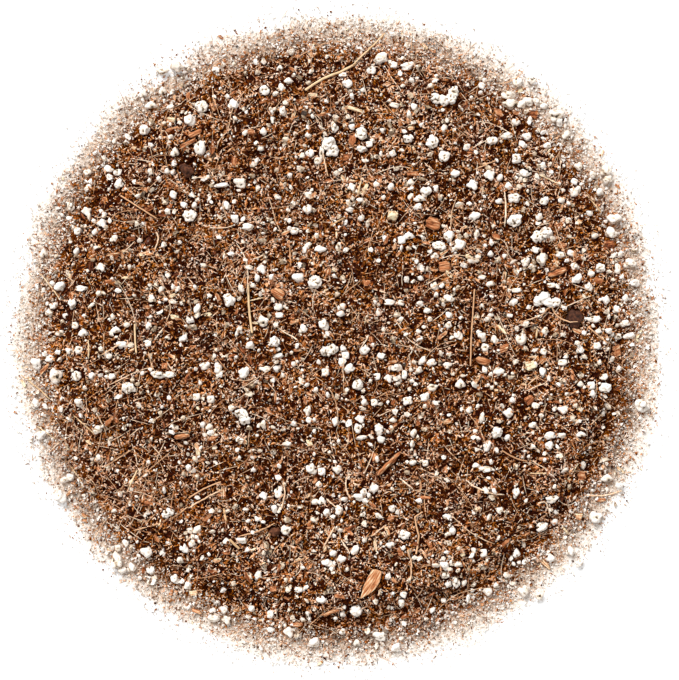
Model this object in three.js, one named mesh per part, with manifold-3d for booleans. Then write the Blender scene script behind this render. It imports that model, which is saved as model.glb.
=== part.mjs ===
// A round, shallow bed of loose potting compost. Brown peat and coir crumbs carry white
// perlite granules, bark chips, a flake of bark, straws, root fibres and clods of peat.
// Millimetres, +Z up, with the origin at the centre of the flat underside.
import * as THREE from 'three';
import { ConvexGeometry } from 'three/addons/geometries/ConvexGeometry.js';
import { mergeVertices } from 'three/addons/utils/BufferGeometryUtils.js';
import Module from 'manifold-3d';

// The bed
const REACH_RADIUS = 100;    // circle that no crumb of the edge goes beyond
const FRINGE_WIDTH = 13;     // ring of thinned-out crumbs, where the outline lies
const OUTLINE_NEAR = 0.45;   // the ragged outline wanders between these shares of the fringe
const OUTLINE_FAR = 0.75;
const SLOPE_RUN = 10;        // width of the slope, loose material at its angle of repose
const BED_DEPTH = 8;         // mean level of the flat top
const FRINGE_HEIGHT = 1.3;   // one crumb
const SWELL_HEIGHT = 0.5;    // long low swells of the top
const SWELL_LENGTH = 11;
const CROSS_SWELL = 0.6;     // height and length of the slanting swells beside the main ones
const CRUMB_RELIEF = 1.1;    // how far the corners of the facets rise and sink
const FACET_SIZE = 3.8;      // one facet of the crumbly surface
const FACET_SHIFT = 0.28;    // share of a facet that its corners are moved sideways

// Granules that stand out of the bed and belong to it
const BURIED_CORNERS = 8;
const BURIED_WIDTH = 1.2;    // whole width of one for each millimetre of it that shows
const BURIED_SUNK = 0.35;

// What lies in the bed
const SEAT_CLEARANCE = 0.3;  // between a piece and the hollow that it lies in
const GRANULE_CORNERS = 16;
const GRANULE_DENT = 0.16;   // share of the half-size that a corner is knocked back
const GRANULE_HEIGHT = 0.8;  // height of a granule for each millimetre of its mean width
const GRANULE_SUNK = 0.42;   // share of the height that is buried
const CLUSTER_SWELL = 0.3;   // how far granules that have grown together bulge into each other
const CHIP_THICKNESS = 1.5;
const CHIP_SUNK = 0.5;
const CHIP_TILT = 7;         // degrees
const CHIP_CORNERS = 7;
const CHIP_SQUARENESS = 0.6; // 1 is an oval, less is closer to a board
const CHIP_BREAK = 0.15;     // share of the half-size that is broken off at a corner
const CHIP_TAPER = 0.9;      // the top's size for each millimetre of the bottom's
const FLAKE_THICKNESS = 1.1;
const FLAKE_SUNK = 0.45;
const STRAND_SIDES = 6;
const STRAND_STEP = 3;       // distance between two bends of a straw or a root
const STRAND_SUNK = 0.4;

// Places are in hundredths of REACH_RADIUS from the centre, X then Y. Sizes are in millimetres.
const PERLITE = [
  { spot: [-41, 70.3], size: [4, 4], turn: 20 },
  { spot: [-58.5, 63.5], size: [3, 3.5], turn: 0 },
  { spot: [-22, 75], size: [3.5, 2.8], turn: -15 },
  { spot: [7, 62], size: [3.8, 4], turn: 30 },
  { spot: [21, 60.5], size: [3.6, 2.6], turn: 10 },
  { spot: [28.3, 59.4], size: [3.8, 4.3], turn: -10 },
  { spot: [31.7, 55], size: [3.2, 3.3], turn: 40 },
  { spot: [46.3, 60], size: [3.6, 2.3], turn: 5 },
  { spot: [53.6, 54.5], size: [3, 3], turn: 25 },
  { spot: [52.8, 42.7], size: [4.2, 2.8], turn: -12 },
  { spot: [53, 35.7], size: [5, 3.5], turn: 18 },
  { spot: [61.8, 41.7], size: [3.6, 2.4], turn: 35 },
  { spot: [79, 21.7], size: [3.2, 3], turn: 0 },
  { spot: [30.5, 28.4], size: [4.2, 2.5], turn: -8 },
  { spot: [-6.9, 17.5], size: [4, 4.5], turn: -35 },
  { spot: [-32.8, 12], size: [3.2, 4], turn: 15 },
  { spot: [-19.3, -0.5], size: [4, 3], turn: 22 },
  { spot: [8, -3], size: [3.5, 2.4], turn: 30 },
  { spot: [6, -13.3], size: [3.2, 3], turn: 0 },
  { spot: [21, -18.3], size: [3, 2.6], turn: -20 },
  { spot: [12.3, -26.8], size: [2.7, 3.6], turn: 8 },
  { spot: [-44.5, 37.3], size: [4.5, 3.5], turn: 12 },
  { spot: [-63, -14.3], size: [4.5, 3], turn: -18 },
  { spot: [-78.8, -10.8], size: [3.5, 2.6], turn: 5 },
  { spot: [-51, -52], size: [4, 2.5], turn: 28 },
  { spot: [20, -58.5], size: [4, 3], turn: -10 },
  { spot: [5.5, -81.5], size: [4.2, 3.5], turn: -35 },
  { spot: [47.5, -27.7], size: [3, 4], turn: -45 },
  { spot: [80.3, -14.5], size: [3.5, 3], turn: 14 },
  { spot: [61.5, -56.5], size: [3.8, 3], turn: 24 },
];
const PERLITE_CLUSTERS = [
  [
    { spot: [-2.8, 59.2], size: [4.2, 3.5], turn: 10 },
    { spot: [-1.6, 57], size: [3.6, 3.3], turn: 50 },
  ],
  [
    { spot: [29.5, 72.5], size: [2.9, 2.9], turn: 0 },
    { spot: [31.8, 72], size: [2.8, 2.9], turn: 30 },
    { spot: [34, 72.5], size: [2.8, 2.8], turn: 15 },
    { spot: [34.8, 74.5], size: [2.6, 2.7], turn: 45 },
  ],
  [
    { spot: [62.5, 32.3], size: [3.5, 3.3], turn: 20 },
    { spot: [59.9, 31], size: [3.8, 2.8], turn: 25 },
  ],
  [
    { spot: [62, 13], size: [3, 2.8], turn: 0 },
    { spot: [60.2, 11.8], size: [2.6, 2.8], turn: 10 },
    { spot: [63.3, 11.4], size: [2.8, 2.6], turn: 40 },
    { spot: [65.2, 11.3], size: [2.5, 2.3], turn: 5 },
  ],
  [
    { spot: [-3.5, -3.3], size: [3.5, 2.6], turn: 8 },
    { spot: [-1.5, -2.7], size: [2.3, 2.5], turn: 0 },
  ],
  [
    { spot: [-29, -22], size: [3.7, 2.6], turn: -12 },
    { spot: [-28, -23.8], size: [2.9, 2.6], turn: 20 },
  ],
];
// The granules of the bed itself: the place of each, then the width and depth that show.
const BURIED_GRANULES = [
  [-44.5, 66, 3, 3.2], [-41.5, 57.5, 2.8, 4], [-49, 56.5, 2.5, 2.5], [-66, 47, 2.5, 3],
  [-76, 38.8, 2.7, 2.5], [-71, 35, 2.5, 2.5], [-35, 46.5, 4, 1.3], [21, 82.8, 3.8, 2.5],
  [13, 85, 4, 3.5], [2.8, 77, 2.8, 2.6], [-31.5, 71, 3, 2.5], [-1, 64, 2, 3],
  [7.3, 57.3, 3.2, 1.8], [26.5, 44.5, 3, 2.8], [24.5, 42.5, 3.2, 1.8], [-29.5, 47, 3.2, 2.6],
  [-27, 34, 3, 2], [50.6, 61.4, 3.3, 2], [56.8, 61.5, 3, 2.5], [45.3, 49.5, 2.9, 2.8],
  [40.3, 46.5, 3, 2.8], [55.8, 50.2, 3.3, 2], [71.5, 45, 3.3, 3.1], [41, 37.3, 3, 2.5],
  [-84, 16.3, 3.2, 2.6], [-80, 10.8, 2.2, 3], [-64.8, -1.7, 3, 2.3], [-85.2, -10.8, 3.5, 4],
  [-53.8, -10.5, 4.5, 2], [-40, -7.7, 2.8, 2.2], [-36, -8.5, 2, 3.2], [-72.3, -27, 2.5, 2.5],
  [-12, 18.4, 3.2, 3], [-22.3, 5.7, 3, 2.8], [-4.3, 4.5, 2.8, 3], [3.4, -8.5, 2.8, 2.7],
  [28, -6.8, 2.8, 2.2], [17.5, -8.3, 3.3, 2.2], [28.3, -14.3, 3, 2], [-28.3, -9.7, 2.8, 3],
  [-9.2, -21.3, 2, 3], [33, 12.5, 3.5, 2], [24.7, 21.7, 2.7, 2.3], [33.4, 31.2, 3, 2.8],
  [21.3, 31.3, 3.2, 2], [-5.3, 27.3, 3, 2], [-23, 21.3, 2.5, 2.5], [36.7, 28.7, 3, 3],
  [61.3, 24.2, 3, 3.3], [71.7, 18.4, 2.8, 2.6], [76.9, 6.2, 3.4, 1.9], [55, 0.3, 2.8, 3.2],
  [48.3, -9.4, 2.8, 2.5], [36.8, -13.2, 2.8, 2.5], [51, -22, 3, 2.7], [44.7, -31.8, 2, 3],
  [63.5, -28.7, 3.4, 2.3], [67.5, -21, 3, 2.4], [-3.2, -67, 3, 2], [-8, -38.8, 3, 3],
  [10.8, -44.5, 2.3, 3], [-17.8, -46, 2.2, 3.5], [-15.6, -57, 2.7, 2.4], [5.2, -63, 2.6, 3],
  [-24, -70.7, 2.2, 2.8], [44.7, -39, 4.3, 1.9], [64.3, -47.8, 3.6, 2.2], [35.5, -73, 2.2, 3],
];
const BARK_CHIPS = [
  { spot: [65.6, 20.2], size: [7.2, 1.9], turn: 20 },
  { spot: [15.2, -37.2], size: [12.8, 1.5], turn: 44 },
  { spot: [-43, 62], size: [5, 2], turn: 20 },
  { spot: [28.5, 35], size: [5, 4], turn: -20 },
  { spot: [-47, -29], size: [5.5, 1.5], turn: 8 },
  { spot: [43.5, -6.3], size: [5, 2.4], turn: -15 },
  { spot: [57.5, -18], size: [3.5, 3], turn: 30 },
  { spot: [32, 22], size: [4, 3.4], turn: 12 },
  { spot: [-18, 14], size: [5, 3.6], turn: -30 },
];
const BARK_FLAKE = {
  spot: [10, -73],
  outline: [
    [-3.4, -4.7], [-2.8, -3], [-2.3, -0.5], [-1, 2], [0.3, 4.1], [2, 4.1],
    [3.3, 3.5], [2.8, 1.5], [2.3, -0.3], [1, -2], [-0.5, -3.2], [-2, -4],
  ],
};
const CREAM_FLAKE = { spot: [16.3, 37.3], size: [4.5, 3.8], turn: 15 };
const PEAT_CLODS = [
  { spot: [71, 6.3], size: [6, 6.6], turn: 0 },
  { spot: [-45.5, 51], size: [6, 4], turn: -35 },
  { spot: [-19, -57.5], size: [4, 3.6], turn: 20 },
];
const STRAWS = [
  { name: 'grass_stem', thickness: 1.2, bends: [[-10, 75], [-4.5, 78.6], [0.5, 80.6], [5.5, 83.4]] },
  { name: 'straw_1', thickness: 1, bends: [[-27, 16.5], [-26.7, 9], [-25.8, 2]] },
  { name: 'straw_2', thickness: 0.9, bends: [[-61, 5], [-61, 0.5], [-60.5, -4]] },
  { name: 'straw_3', thickness: 1.1, bends: [[-32.7, -59.8], [-29.6, -62.8]] },
];
const ROOT_FIBRES = [
  { name: 'root_fibre_1', thickness: 0.9, bends: [[41, 15.5], [40.5, 8], [40, 0], [39.8, -8]] },
  { name: 'root_fibre_2', thickness: 0.9, bends: [[-65.5, 43.5], [-60, 40], [-54.5, 36.5]] },
  {
    name: 'root_fibre_3', thickness: 1,
    bends: [[25.5, -51.5], [23.6, -52.3], [22.8, -54.3], [24.2, -57.5], [24, -61], [23.4, -64.5]],
  },
  { name: 'root_fibre_4', thickness: 0.9, bends: [[49, -33], [53, -35.4], [57, -36.5]] },
  { name: 'root_fibre_5', thickness: 0.9, bends: [[-45, -47.5], [-40, -44.5], [-35, -42.5]] },
];

const MATERIALS = {
  peat: new THREE.MeshStandardMaterial({ color: 0x6b4a36, roughness: 0.95, metalness: 0 }),
  clod: new THREE.MeshStandardMaterial({ color: 0x4a3020, roughness: 0.95, metalness: 0 }),
  perlite: new THREE.MeshStandardMaterial({ color: 0xf2efe9, roughness: 0.85, metalness: 0 }),
  bark: new THREE.MeshStandardMaterial({ color: 0xa8653a, roughness: 0.8, metalness: 0 }),
  paleBark: new THREE.MeshStandardMaterial({ color: 0xd8a070, roughness: 0.75, metalness: 0 }),
  cream: new THREE.MeshStandardMaterial({ color: 0xead9a8, roughness: 0.75, metalness: 0 }),
  straw: new THREE.MeshStandardMaterial({ color: 0xe2cf9f, roughness: 0.6, metalness: 0 }),
  root: new THREE.MeshStandardMaterial({ color: 0xb98f63, roughness: 0.8, metalness: 0 }),
};

const SEED = { bed: 7, buried: 100, perlite: 200, cluster: 300, clod: 400, cream: 450, chip: 500 };
const FULL_TURN = 2 * Math.PI;
const GOLDEN_ANGLE = Math.PI * (3 - Math.sqrt(5));
const CROWN_RADIUS = REACH_RADIUS - FRINGE_WIDTH - SLOPE_RUN;

const wasm = await Module();
wasm.setup();

const radians = THREE.MathUtils.degToRad;

// A repeatable run of random numbers from 0 to 1.
function randomFrom(seed) {
  let state = seed;
  return () => {
    state = (state + 0x6d2b79f5) | 0;
    let mixed = Math.imul(state ^ (state >>> 15), 1 | state);
    mixed = (mixed + Math.imul(mixed ^ (mixed >>> 7), 61 | mixed)) ^ mixed;
    return ((mixed ^ (mixed >>> 14)) >>> 0) / 2 ** 32;
  };
}

// A closed geometry as a solid for joining and cutting.
function solidOf(geometry) {
  const bare = geometry.clone();
  bare.deleteAttribute('normal');
  bare.deleteAttribute('uv');
  const merged = mergeVertices(bare);
  return new wasm.Manifold(new wasm.Mesh({
    numProp: 3,
    vertProperties: new Float32Array(merged.attributes.position.array),
    triVerts: new Uint32Array(merged.index.array),
  }));
}

function geometryOf(solid) {
  const { vertProperties, triVerts } = solid.getMesh();
  const geometry = new THREE.BufferGeometry();
  geometry.setAttribute('position', new THREE.BufferAttribute(vertProperties, 3));
  geometry.setIndex(new THREE.BufferAttribute(triVerts, 1));
  geometry.computeVertexNormals();
  return geometry;
}

// The place on the bed of a spot given in hundredths of the reach.
function placeOf([x, y]) {
  return new THREE.Vector2(x, y).multiplyScalar(REACH_RADIUS / 100);
}

// How far out one corner of the ragged outline lies.
function outlineRadius(random) {
  const share = THREE.MathUtils.lerp(OUTLINE_NEAR, OUTLINE_FAR, random());
  return REACH_RADIUS - FRINGE_WIDTH * (1 - share);
}

// The level of the bed without its crumbs: flat, then the slope, then the thin fringe.
function meanLevel(x, y) {
  const beyond = Math.hypot(x, y) - CROWN_RADIUS;
  const share = THREE.MathUtils.smoothstep(beyond, 0, SLOPE_RUN);
  const swell = Math.sin(x / SWELL_LENGTH) * Math.cos(y / SWELL_LENGTH)
    + CROSS_SWELL * Math.sin((x + y) / (CROSS_SWELL * SWELL_LENGTH));
  return THREE.MathUtils.lerp(BED_DEPTH + SWELL_HEIGHT * swell, FRINGE_HEIGHT, share);
}

// The corners of the bed's top in rings of six more each, out to the ragged outline.
function bedRings() {
  const random = randomFrom(SEED.bed);
  const ringCount = Math.round(REACH_RADIUS / FACET_SIZE);
  const rings = [[new THREE.Vector3(0, 0, meanLevel(0, 0))]];
  for (let ring = 1; ring <= ringCount; ring += 1) {
    const corners = [];
    const isOutline = ring === ringCount;
    for (let i = 0; i < 6 * ring; i += 1) {
      const shift = isOutline ? 0 : FACET_SHIFT;
      const bearing = FULL_TURN * (i + shift * (random() - 0.5)) / (6 * ring);
      const inner = (ring + shift * (random() - 0.5)) / ringCount * (REACH_RADIUS - FRINGE_WIDTH);
      const radius = isOutline ? outlineRadius(random) : inner;
      const x = radius * Math.cos(bearing);
      const y = radius * Math.sin(bearing);
      const level = meanLevel(x, y);
      const relief = Math.min(CRUMB_RELIEF, level / 2);
      corners.push(new THREE.Vector3(x, y, level + relief * (2 * random() - 1)));
    }
    rings.push(corners);
  }
  return rings;
}

// The triangles between two neighbouring rings, going round both in step.
function trianglesBetween(inner, outer) {
  const triangles = [];
  let i = 0;
  let o = 0;
  while (i < inner.length || o < outer.length) {
    const here = inner[i % inner.length];
    const there = outer[o % outer.length];
    const outerIsNext = (o + 1) * inner.length <= (i + 1) * outer.length;
    if (inner.length === 1 || (outerIsNext && o < outer.length)) {
      triangles.push([here, there, outer[(o + 1) % outer.length]]);
      o += 1;
      if (inner.length === 1 && o === outer.length) break;
    } else {
      triangles.push([here, there, inner[(i + 1) % inner.length]]);
      i += 1;
    }
  }
  return triangles;
}

function topTriangles(rings) {
  return rings.slice(1).flatMap((ring, index) => trianglesBetween(rings[index], ring));
}

// The bed as one closed solid: the crumbly top, a low wall at the outline and the flat underside.
function bedGeometry(rings) {
  const rim = rings.at(-1);
  const foot = rim.map((corner) => new THREE.Vector3(corner.x, corner.y, 0));
  const wall = rim.flatMap((corner, i) => {
    const next = (i + 1) % rim.length;
    return [[corner, foot[i], foot[next]], [corner, foot[next], rim[next]]];
  });
  const flat = foot.map((corner) => new THREE.Vector2(corner.x, corner.y));
  const underside = THREE.ShapeUtils.triangulateShape(flat, [])
    .map(([a, b, c]) => [foot[a], foot[c], foot[b]]);
  const corners = [...topTriangles(rings), ...wall, ...underside].flat();
  return new THREE.BufferGeometry().setFromPoints(corners);
}

// The level of the faceted top straight above a point.
function levelOn(triangles, x, y) {
  const point = new THREE.Vector3(x, y, 0);
  const weights = new THREE.Vector3();
  const flat = new THREE.Triangle();
  for (const [a, b, c] of triangles) {
    flat.a.set(a.x, a.y, 0);
    flat.b.set(b.x, b.y, 0);
    flat.c.set(c.x, c.y, 0);
    if (flat.containsPoint(point)) {
      flat.getBarycoord(point, weights);
      return weights.x * a.z + weights.y * b.z + weights.z * c.z;
    }
  }
  return FRINGE_HEIGHT;
}

// The hull of some points and of the same points raised, which leaves a hollow open above.
function raisedHull(points, rise) {
  const raised = rise > 0 ? points.map((point) => point.clone().setZ(point.z + rise)) : [];
  return new ConvexGeometry([...points, ...raised]);
}

// An angular granule: corners spread evenly over an ellipsoid, each knocked back a little.
function granule({ size: [width, depth], height, corners, seed }, grow, rise) {
  const random = randomFrom(seed);
  const half = new THREE.Vector3(width / 2 + grow, depth / 2 + grow, height / 2 + grow);
  const count = Math.round(corners);
  const points = [];
  for (let i = 0; i < count; i += 1) {
    const up = 1 - (2 * i + 1) / count;
    const out = Math.sqrt(1 - up * up);
    const bearing = GOLDEN_ANGLE * i + random();
    const share = 1 - GRANULE_DENT * random();
    const corner = new THREE.Vector3(out * Math.cos(bearing), out * Math.sin(bearing), up);
    points.push(corner.multiply(half).multiplyScalar(share));
  }
  return raisedHull(points, rise);
}

// A flat chip with a broken outline, a little smaller on top.
function chip({ size: [length, width], seed }, grow, rise) {
  const random = randomFrom(seed);
  const broken = Array.from({ length: CHIP_CORNERS }, () => 1 - CHIP_BREAK * random());
  const towards = (value) => Math.sign(value) * Math.abs(value) ** CHIP_SQUARENESS;
  const points = [-1, 1].flatMap((side) => broken.map((share, i) => {
    const bearing = FULL_TURN * (i + 0.5) / CHIP_CORNERS;
    const taper = side > 0 ? CHIP_TAPER : 1;
    return new THREE.Vector3(
      towards(Math.cos(bearing)) * (length / 2 * share * taper + grow),
      towards(Math.sin(bearing)) * (width / 2 * share * taper + grow),
      side * (CHIP_THICKNESS / 2 + grow),
    );
  }));
  return raisedHull(points, rise);
}

// The leaf-shaped flake of bark, from its outline.
function flake({ outline }, grow, rise) {
  const thickness = FLAKE_THICKNESS / 2 + grow;
  const points = outline.flatMap(([x, y]) => {
    const corner = new THREE.Vector2(x, y);
    corner.setLength(corner.length() + grow);
    return [-thickness, thickness].map((z) => new THREE.Vector3(corner.x, corner.y, z));
  });
  return raisedHull(points, rise);
}

// A straw or root: a thin rod along its bends, which are given from its first point.
function strand({ path, thickness }, grow) {
  const section = new THREE.Shape(Array.from({ length: STRAND_SIDES }, (_, i) => {
    const bearing = FULL_TURN * i / STRAND_SIDES;
    return new THREE.Vector2(Math.cos(bearing), Math.sin(bearing)).multiplyScalar(thickness / 2 + grow);
  }));
  const first = path[0].clone().sub(path[1]).setLength(grow).add(path[0]);
  const last = path.at(-1).clone().sub(path.at(-2)).setLength(grow).add(path.at(-1));
  const extrudePath = new THREE.CatmullRomCurve3([first, ...path.slice(1, -1), last]);
  const steps = path.length - 1;
  return new THREE.ExtrudeGeometry(section, { steps, bevelEnabled: false, extrudePath });
}

const bedModel = new THREE.Group();
bedModel.name = 'potting_compost';
const rings = bedRings();
const top = topTriangles(rings);
const hollows = [];

// Adds a named piece at its place and keeps the hollow that it needs in the bed.
function seat(name, material, geometry, hollowGeometries, position, turn = 0, tilt = 0) {
  const mesh = new THREE.Mesh(geometry, MATERIALS[material]);
  mesh.name = name;
  mesh.position.copy(position);
  mesh.rotation.set(radians(tilt), 0, radians(turn), 'ZXY');
  mesh.updateMatrix();
  hollowGeometries.forEach((hollow) => hollows.push(solidOf(hollow.applyMatrix4(mesh.matrix))));
  bedModel.add(mesh);
}

function seatPosition(spot, height, sunk) {
  const { x, y } = placeOf(spot);
  return new THREE.Vector3(x, y, levelOn(top, x, y) + height * (0.5 - sunk));
}

function granuleFrom({ size }, seed, corners = GRANULE_CORNERS) {
  return { size, height: GRANULE_HEIGHT * (size[0] + size[1]) / 2, corners, seed };
}

function addGranule(name, material, entry, seed) {
  const shape = granuleFrom(entry, seed);
  const position = seatPosition(entry.spot, shape.height, GRANULE_SUNK);
  const hollow = granule(shape, SEAT_CLEARANCE, shape.height);
  seat(name, material, granule(shape, 0, 0), [hollow], position, entry.turn);
}

// Granules that have grown together are one piece, placed by the first of them.
function addCluster(name, entries, firstSeed) {
  const origin = seatPosition(entries[0].spot, 0, 0);
  const hollowsHere = [];
  const joined = entries.map((entry, i) => {
    const shape = granuleFrom(entry, firstSeed + i);
    const offset = seatPosition(entry.spot, shape.height, GRANULE_SUNK).setZ(origin.z).sub(origin);
    offset.z = shape.height * (0.5 - GRANULE_SUNK);
    const place = (geometry) => geometry.rotateZ(radians(entry.turn)).translate(...offset.toArray());
    hollowsHere.push(place(granule(shape, CLUSTER_SWELL + SEAT_CLEARANCE, shape.height)));
    return solidOf(place(granule(shape, CLUSTER_SWELL, 0)));
  }).reduce((whole, part) => whole.add(part));
  seat(name, 'perlite', geometryOf(joined), hollowsHere, origin);
}

function addChip(name, entry, seed) {
  const shape = { size: entry.size, seed };
  const position = seatPosition(entry.spot, CHIP_THICKNESS, CHIP_SUNK);
  const hollow = chip(shape, SEAT_CLEARANCE, CHIP_THICKNESS);
  seat(name, 'bark', chip(shape, 0, 0), [hollow], position, entry.turn, CHIP_TILT);
}

function addFlake(name, entry) {
  const position = seatPosition(entry.spot, FLAKE_THICKNESS, FLAKE_SUNK);
  seat(name, 'paleBark', flake(entry, 0, 0), [flake(entry, SEAT_CLEARANCE, FLAKE_THICKNESS)], position);
}

// Lays a strand over the bed: its bends follow the top, partly sunk in it.
function addStrand(name, material, { thickness, bends }) {
  const plan = new THREE.SplineCurve(bends.map(placeOf));
  const points = plan.getSpacedPoints(Math.max(2, Math.round(plan.getLength() / STRAND_STEP)));
  const laid = points.map(({ x, y }) => (
    new THREE.Vector3(x, y, levelOn(top, x, y) + thickness * (0.5 - STRAND_SUNK))
  ));
  const path = laid.map((point) => point.clone().sub(laid[0]));
  const grooves = [0, thickness, 2 * thickness].map((rise) => (
    strand({ path, thickness }, SEAT_CLEARANCE).translate(0, 0, rise)
  ));
  seat(name, material, strand({ path, thickness }, 0), grooves, laid[0]);
}

// The granules that stand out of the bed, to be joined to it.
function buriedGranules() {
  return BURIED_GRANULES.map(([x, y, width, depth], i) => {
    const size = [BURIED_WIDTH * width, BURIED_WIDTH * depth];
    const shape = granuleFrom({ size }, SEED.buried + i, BURIED_CORNERS);
    const position = seatPosition([x, y], shape.height, BURIED_SUNK);
    return solidOf(granule(shape, 0, 0).translate(...position.toArray()));
  });
}

const numbered = (stem, index, digits) => `${stem}_${String(index + 1).padStart(digits, '0')}`;

PERLITE.forEach((entry, i) => addGranule(numbered('perlite', i, 2), 'perlite', entry, SEED.perlite + i));
PERLITE_CLUSTERS.forEach((entries, i) => (
  addCluster(numbered('perlite_cluster', i, 1), entries, SEED.cluster + PERLITE.length * i)
));
PEAT_CLODS.forEach((entry, i) => addGranule(numbered('peat_clod', i, 1), 'clod', entry, SEED.clod + i));
BARK_CHIPS.forEach((entry, i) => addChip(numbered('bark_chip', i, 1), entry, SEED.chip + i));
addGranule('cream_flake', 'cream', CREAM_FLAKE, SEED.cream);
addFlake('bark_flake', BARK_FLAKE);
STRAWS.forEach((entry) => addStrand(entry.name, 'straw', entry));
ROOT_FIBRES.forEach((entry) => addStrand(entry.name, 'root', entry));

// The bed itself, with its granules joined on and a hollow for each piece. A scrap that a hollow
// cuts right off the bed is left out.
const wholeBed = wasm.Manifold.union([solidOf(bedGeometry(rings)), ...buriedGranules()]);
const hollowedBed = wholeBed.subtract(wasm.Manifold.union(hollows));
const largest = hollowedBed.decompose().reduce((a, b) => (a.volume() > b.volume() ? a : b));
const bedMesh = new THREE.Mesh(geometryOf(largest), MATERIALS.peat);
bedMesh.name = 'mix_bed';
bedModel.add(bedMesh);

export default bedModel;
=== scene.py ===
"""A round, shallow bed of loose potting compost on a pale floor, seen from straight above.

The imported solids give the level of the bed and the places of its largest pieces. On them lie the
loose grains that make the look: peat crumbs, coir crumbs and shreds, fibres, roots, straws, bark
chips and white perlite. Each layer lands on a height map of the heap and raises it, so that grains
rest on what lies under them. Sizes are in millimetres until a mesh is made.
"""

import logging
import math
from dataclasses import dataclass, field
from enum import Enum

import bmesh
import bpy
import numpy as np
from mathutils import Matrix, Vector, noise
from mathutils.bvhtree import BVHTree


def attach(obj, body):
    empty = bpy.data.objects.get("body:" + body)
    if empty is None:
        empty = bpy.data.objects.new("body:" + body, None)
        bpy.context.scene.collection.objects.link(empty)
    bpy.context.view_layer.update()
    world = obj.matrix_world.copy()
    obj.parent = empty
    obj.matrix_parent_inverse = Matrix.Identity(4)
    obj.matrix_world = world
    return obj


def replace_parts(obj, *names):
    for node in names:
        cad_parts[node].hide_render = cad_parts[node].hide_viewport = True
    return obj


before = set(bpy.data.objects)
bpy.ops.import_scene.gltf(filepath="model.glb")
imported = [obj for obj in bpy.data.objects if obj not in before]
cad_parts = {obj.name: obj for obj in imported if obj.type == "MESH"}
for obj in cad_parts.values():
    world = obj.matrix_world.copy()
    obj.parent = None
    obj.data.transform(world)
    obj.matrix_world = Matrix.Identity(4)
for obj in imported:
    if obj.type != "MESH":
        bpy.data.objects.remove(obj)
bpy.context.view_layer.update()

log = logging.getLogger("compost")

Dice = np.random.Generator
Socket = bpy.types.NodeSocket
Material = bpy.types.Material
Materials = dict[str, Material]
Piece = bpy.types.Object
Spots = tuple[tuple[float, float, float], ...]

MM = 0.001
BODY = "root"
UP = np.array([0.0, 0.0, 1.0])
CROSS = ((0, 0), (1, 0), (-1, 0), (0, 1), (0, -1))
FULL_TURN = 2 * math.pi

# Sockets of a Mix node for colours, which share their names with its sockets for numbers.
MIX_FIRST = 6
MIX_SECOND = 7
MIX_RESULT = 2

# Sockets of the shader groups that shift a tone.
SHIFT_TAKES = {"Tone": "Float", "Place": "Vector", "Scale": "Float", "Depth": "Float"}
SHIFT_GIVES = {"Tone": "Float", "Height": "Float"}

# How the shared effects are set: the middle of a noise, how far plant grain is drawn out along
# its length, how much dustier sides are than tops, which paints shade on the sides as well as dust, how
# sharply dust ends, and the mix's mean warmth.
NOISE_MIDDLE = 0.5
GRAIN_STRETCH = 0.14
SIDE_DUST_AND_SHADE = 0.22
DUST_EDGE = 6.0
MEAN_WARMTH = 1.2

# Each grain reads its noise from a place of its own, drawn from a span this wide.
NOISE_SPAN = 50

# Grains at the thin edge are smaller by this share, and paler from this distance from the
# centre on, over this width, as painted light where the heap fades to white.
EDGE_SHRINK = 0.35
PALER_FROM = 84
PALER_OVER = 14

# Loose grains stay this far above the floor.
FLOOR_GAP = 0.02

# The least share of a direction that a distance is divided by.
LEAST_SHARE = 0.05

# Corners of the unit shapes that crumbs and specks start from.
SIX_CORNERS = np.array([[1, 0, 0], [-1, 0, 0], [0, 1, 0], [0, -1, 0], [0, 0, 1], [0, 0, -1]], float)
FOUR_CORNERS = np.array([[1, 1, 1], [1, -1, -1], [-1, 1, -1], [-1, -1, 1]], float)

# Share of the full number of grains that lies at each distance from the centre.
THINNING_RADII = (0.0, 87.0, 89.0, 91.0, 93.0, 95.0, 97.0, 99.0, 101.0)
THINNING_SHARES = (1.0, 1.0, 0.93, 0.8, 0.62, 0.42, 0.24, 0.1, 0.0)

# Places where the mix is darker (below 0) or redder and lighter (above 0): X, Y, reach, change.
TINT_SPOTS = (
    (-0.1, 23.9, 2.2, -0.5), (0, 18.3, 2.2, -0.5), (20, 18.3, 3.0, -0.4), (24.3, 27, 2.2, -0.4),
    (-14.6, 18, 2.0, -0.5), (10, 3.5, 2.2, -0.35), (-14.5, -4, 2.4, -0.35), (-81, 5.5, 3.4, -0.4),
    (18.7, 37, 1.6, -0.5), (66.5, -49.3, 2.2, -0.4), (-45, 54, 2.4, -0.35), (-19, -54, 2.4, -0.3),
    (-18, 15.4, 4.6, 0.24), (-8, 4, 6, 0.08), (54, 20, 8, 0.08), (-54, -46, 9, 0.08),
    (5.5, 20.6, 1.8, -0.35), (19.3, 17.6, 2.6, -0.3), (-18.1, 21.9, 1.6, -0.4),
    (-7.3, 0.9, 1.2, -0.5), (18.3, 8.8, 1.6, -0.3), (-56, 30.1, 2.8, -0.35), (-46.4, 31.1, 2.4, -0.3),
    (-55.6, 38.6, 2, -0.35), (-81.2, 27.5, 2.2, -0.4), (-59.9, 16.9, 2.2, -0.35),
    (-48.7, 1.5, 2.4, -0.3), (-74, 22.2, 1.6, -0.35), (-54.1, 11.7, 2, -0.25),
)

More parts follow.
